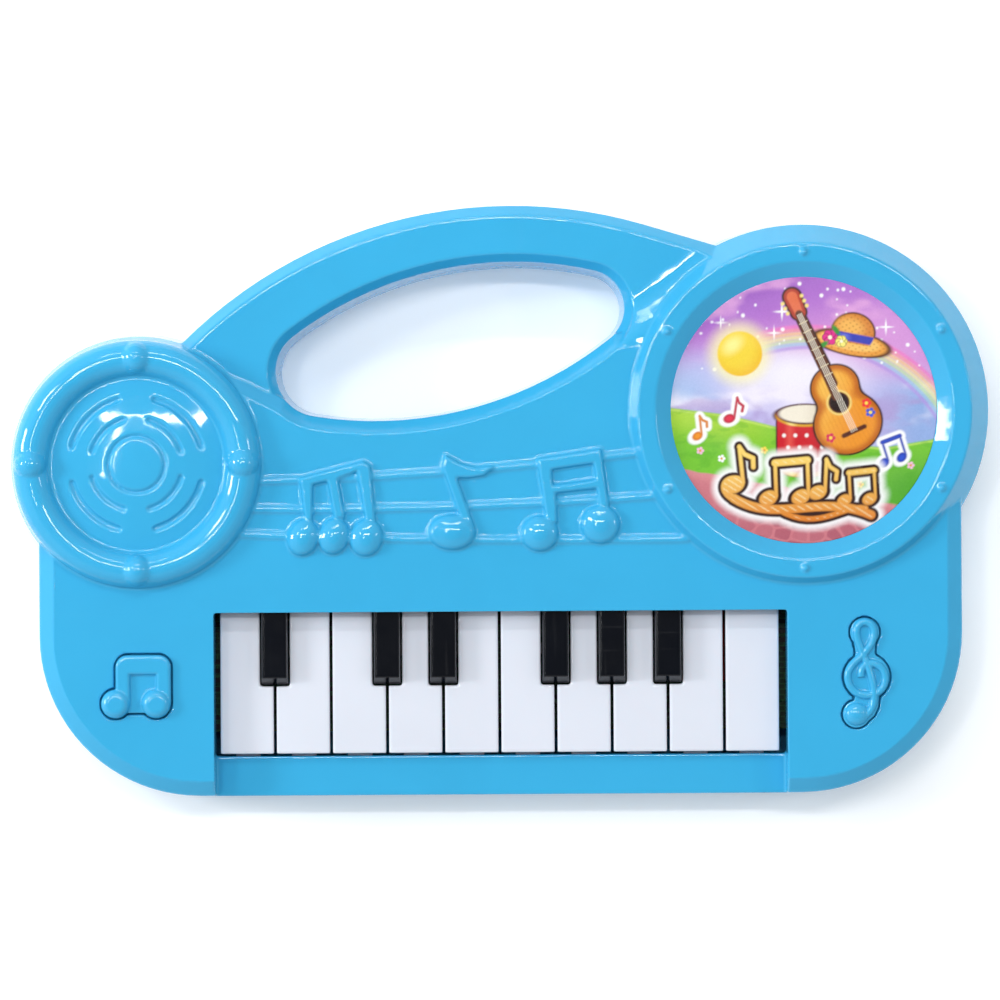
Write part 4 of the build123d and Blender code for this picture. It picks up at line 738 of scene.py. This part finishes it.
def disc_grid(count):
    """A square grid bent evenly into a unit disc."""
    a, b = np.meshgrid(np.linspace(-1, 1, count + 1), np.linspace(-1, 1, count + 1))
    wide = abs(a) > abs(b)
    reach = np.where(wide, a, b)
    with np.errstate(divide="ignore", invalid="ignore"):
        angle = np.where(wide, math.pi / 4 * (b / a), math.pi / 2 - math.pi / 4 * (a / b))
    angle = np.nan_to_num(angle)
    return (reach * np.cos(angle)).ravel(), (reach * np.sin(angle)).ravel()


def printed_label():
    """The round card in the medallion: its top is a fine grid that carries the picture as a colour attribute."""
    low, high = (Vector(corner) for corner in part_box("label_disc"))
    centre, radius = (low + high) / 2, (high.x - low.x) / 2
    u, v = disc_grid(LABEL_CELLS)
    n = LABEL_CELLS + 1
    top = np.column_stack([centre.x + u * radius, centre.y + v * radius,
                           high.z - LABEL_CROWN * (0.4 + 0.6 * (u * u + v * v) ** 4)])
    front, back = list(range(n)), [(n - 1) * n + k for k in range(n - 2, -1, -1)]
    right, left = [k * n + n - 1 for k in range(1, n)], [k * n for k in range(n - 2, 0, -1)]
    ring = front + right + back + left
    under = top[ring] * (1, 1, 0) + (0, 0, low.z)
    faces = [(j * n + i, j * n + i + 1, (j + 1) * n + i + 1, (j + 1) * n + i)
             for j in range(LABEL_CELLS) for i in range(LABEL_CELLS)]
    count = len(top)
    faces += [(ring[k], count + k, count + (k + 1) % len(ring), ring[(k + 1) % len(ring)]) for k in range(len(ring))]
    faces.append(tuple(range(count + len(ring) - 1, count - 1, -1)))
    mesh = bpy.data.meshes.new("printed_label")
    mesh.from_pydata(np.vstack([top, under]).tolist(), [], faces)
    colours = np.ones((count + len(ring), 4))
    colours[:count, :3] = label_colours(u, v)
    colours[count:, :3] = LABEL_EDGE_COLOUR
    paint = mesh.color_attributes.new("picture", "FLOAT_COLOR", "POINT")
    paint.data.foreach_set("color", colours.ravel())
    mesh.polygons.foreach_set("use_smooth", [True] * (len(faces) - len(ring) - 1) + [False] * (len(ring) + 1))
    piece = bpy.data.objects.new("printed_label", mesh)
    bpy.context.collection.objects.link(piece)
    mesh.materials.append(looks["picture"])
    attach(piece, "case")
    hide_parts("label_disc")


printed_label()


# ---- Light ----------------------------------------------------------------------------------------
def softbox(name, azimuth, elevation, size, brightness, distance=1.5):
    """A rectangular lamp on a sphere round the object, facing it. Azimuth 90 is behind the object."""
    lamp = bpy.data.lights.new(name, "AREA")
    lamp.shape = "RECTANGLE"
    lamp.size, lamp.size_y = size
    lamp.energy = brightness * size[0] * size[1] * math.pi
    holder = bpy.data.objects.new(name, lamp)
    a, e = math.radians(azimuth), math.radians(elevation)
    holder.location = Vector((math.cos(a) * math.cos(e), math.sin(a) * math.cos(e), math.sin(e))) * distance
    holder.rotation_euler = (-holder.location).to_track_quat("-Z", "Y").to_euler()
    bpy.context.collection.objects.link(holder)


softbox("back_softbox", 92, 50, (0.95, 0.07), 20)
softbox("left_softbox", 172, 26, (0.40, 0.30), 25)
softbox("left_high_softbox", 150, 52, (0.20, 0.20), 22)
softbox("right_softbox", 10, 42, (0.22, 0.12), 14)
softbox("overhead_back", 88, 77, (0.92, 0.06), 36)
softbox("overhead_left", 163, 75, (0.34, 0.045), 36)

# A light tent: bright sides and a darker opening overhead, where the camera looks in.
TENT_SIDES = 0.69
TENT_OPENING = 0.16
OPENING_START, OPENING_FULL = 0.72, 0.96  # height of a direction where the opening starts and where it is darkest
TENT_LEFT, TENT_RIGHT = 1.16, 0.72  # the tent is brighter on the left
world = bpy.data.worlds.new("studio")
bpy.context.scene.world = world
world.use_nodes = True
tree = world.node_tree
direction = tree.nodes.new("ShaderNodeTexCoord")
split = tree.nodes.new("ShaderNodeSeparateXYZ")
tree.links.new(direction.outputs["Generated"], split.inputs[0])
fall = tree.nodes.new("ShaderNodeMapRange")
fall.interpolation_type = "SMOOTHSTEP"
for key, number in (("From Min", OPENING_START), ("From Max", OPENING_FULL),
                    ("To Min", TENT_SIDES), ("To Max", TENT_OPENING)):
    fall.inputs[key].default_value = number
tree.links.new(split.outputs["Z"], fall.inputs["Value"])
lean = tree.nodes.new("ShaderNodeMapRange")
for key, number in (("From Min", -1), ("From Max", 1), ("To Min", TENT_LEFT), ("To Max", TENT_RIGHT)):
    lean.inputs[key].default_value = number
tree.links.new(split.outputs["X"], lean.inputs["Value"])
both = tree.nodes.new("ShaderNodeMath")
both.operation = "MULTIPLY"
tree.links.new(fall.outputs["Result"], both.inputs[0])
tree.links.new(lean.outputs["Result"], both.inputs[1])
tree.links.new(both.outputs[0], tree.nodes["Background"].inputs["Strength"])
tree.nodes["Background"].inputs["Color"].default_value = (0.97, 0.985, 1.0, 1)

g = Graph("pale_floor")
g.put("Base Color", g.mix(g.noise(90, detail=2), (0.94, 0.94, 0.94), (0.96, 0.96, 0.96)))
g.put("Roughness", 0.9)
g.put("Specular IOR Level", 0.1)
g.put("Normal", g.bump(g.noise(1.5, detail=3), 6))
g.put("Emission Color", (1, 1, 1))
g.put("Emission Strength", 0.2)
HALF_FLOOR = 4.0
FLOOR_Z = -0.00003  # just under the feet, so that the two don't share a plane
mesh = bpy.data.meshes.new("floor")
corners = [(x * HALF_FLOOR, y * HALF_FLOOR, FLOOR_Z) for x, y in ((-1, -1), (1, -1), (1, 1), (-1, 1))]
mesh.from_pydata(corners, [], [(0, 1, 2, 3)])
floor = bpy.data.objects.new("floor", mesh)
floor.data.materials.append(g.material)
bpy.context.collection.objects.link(floor)
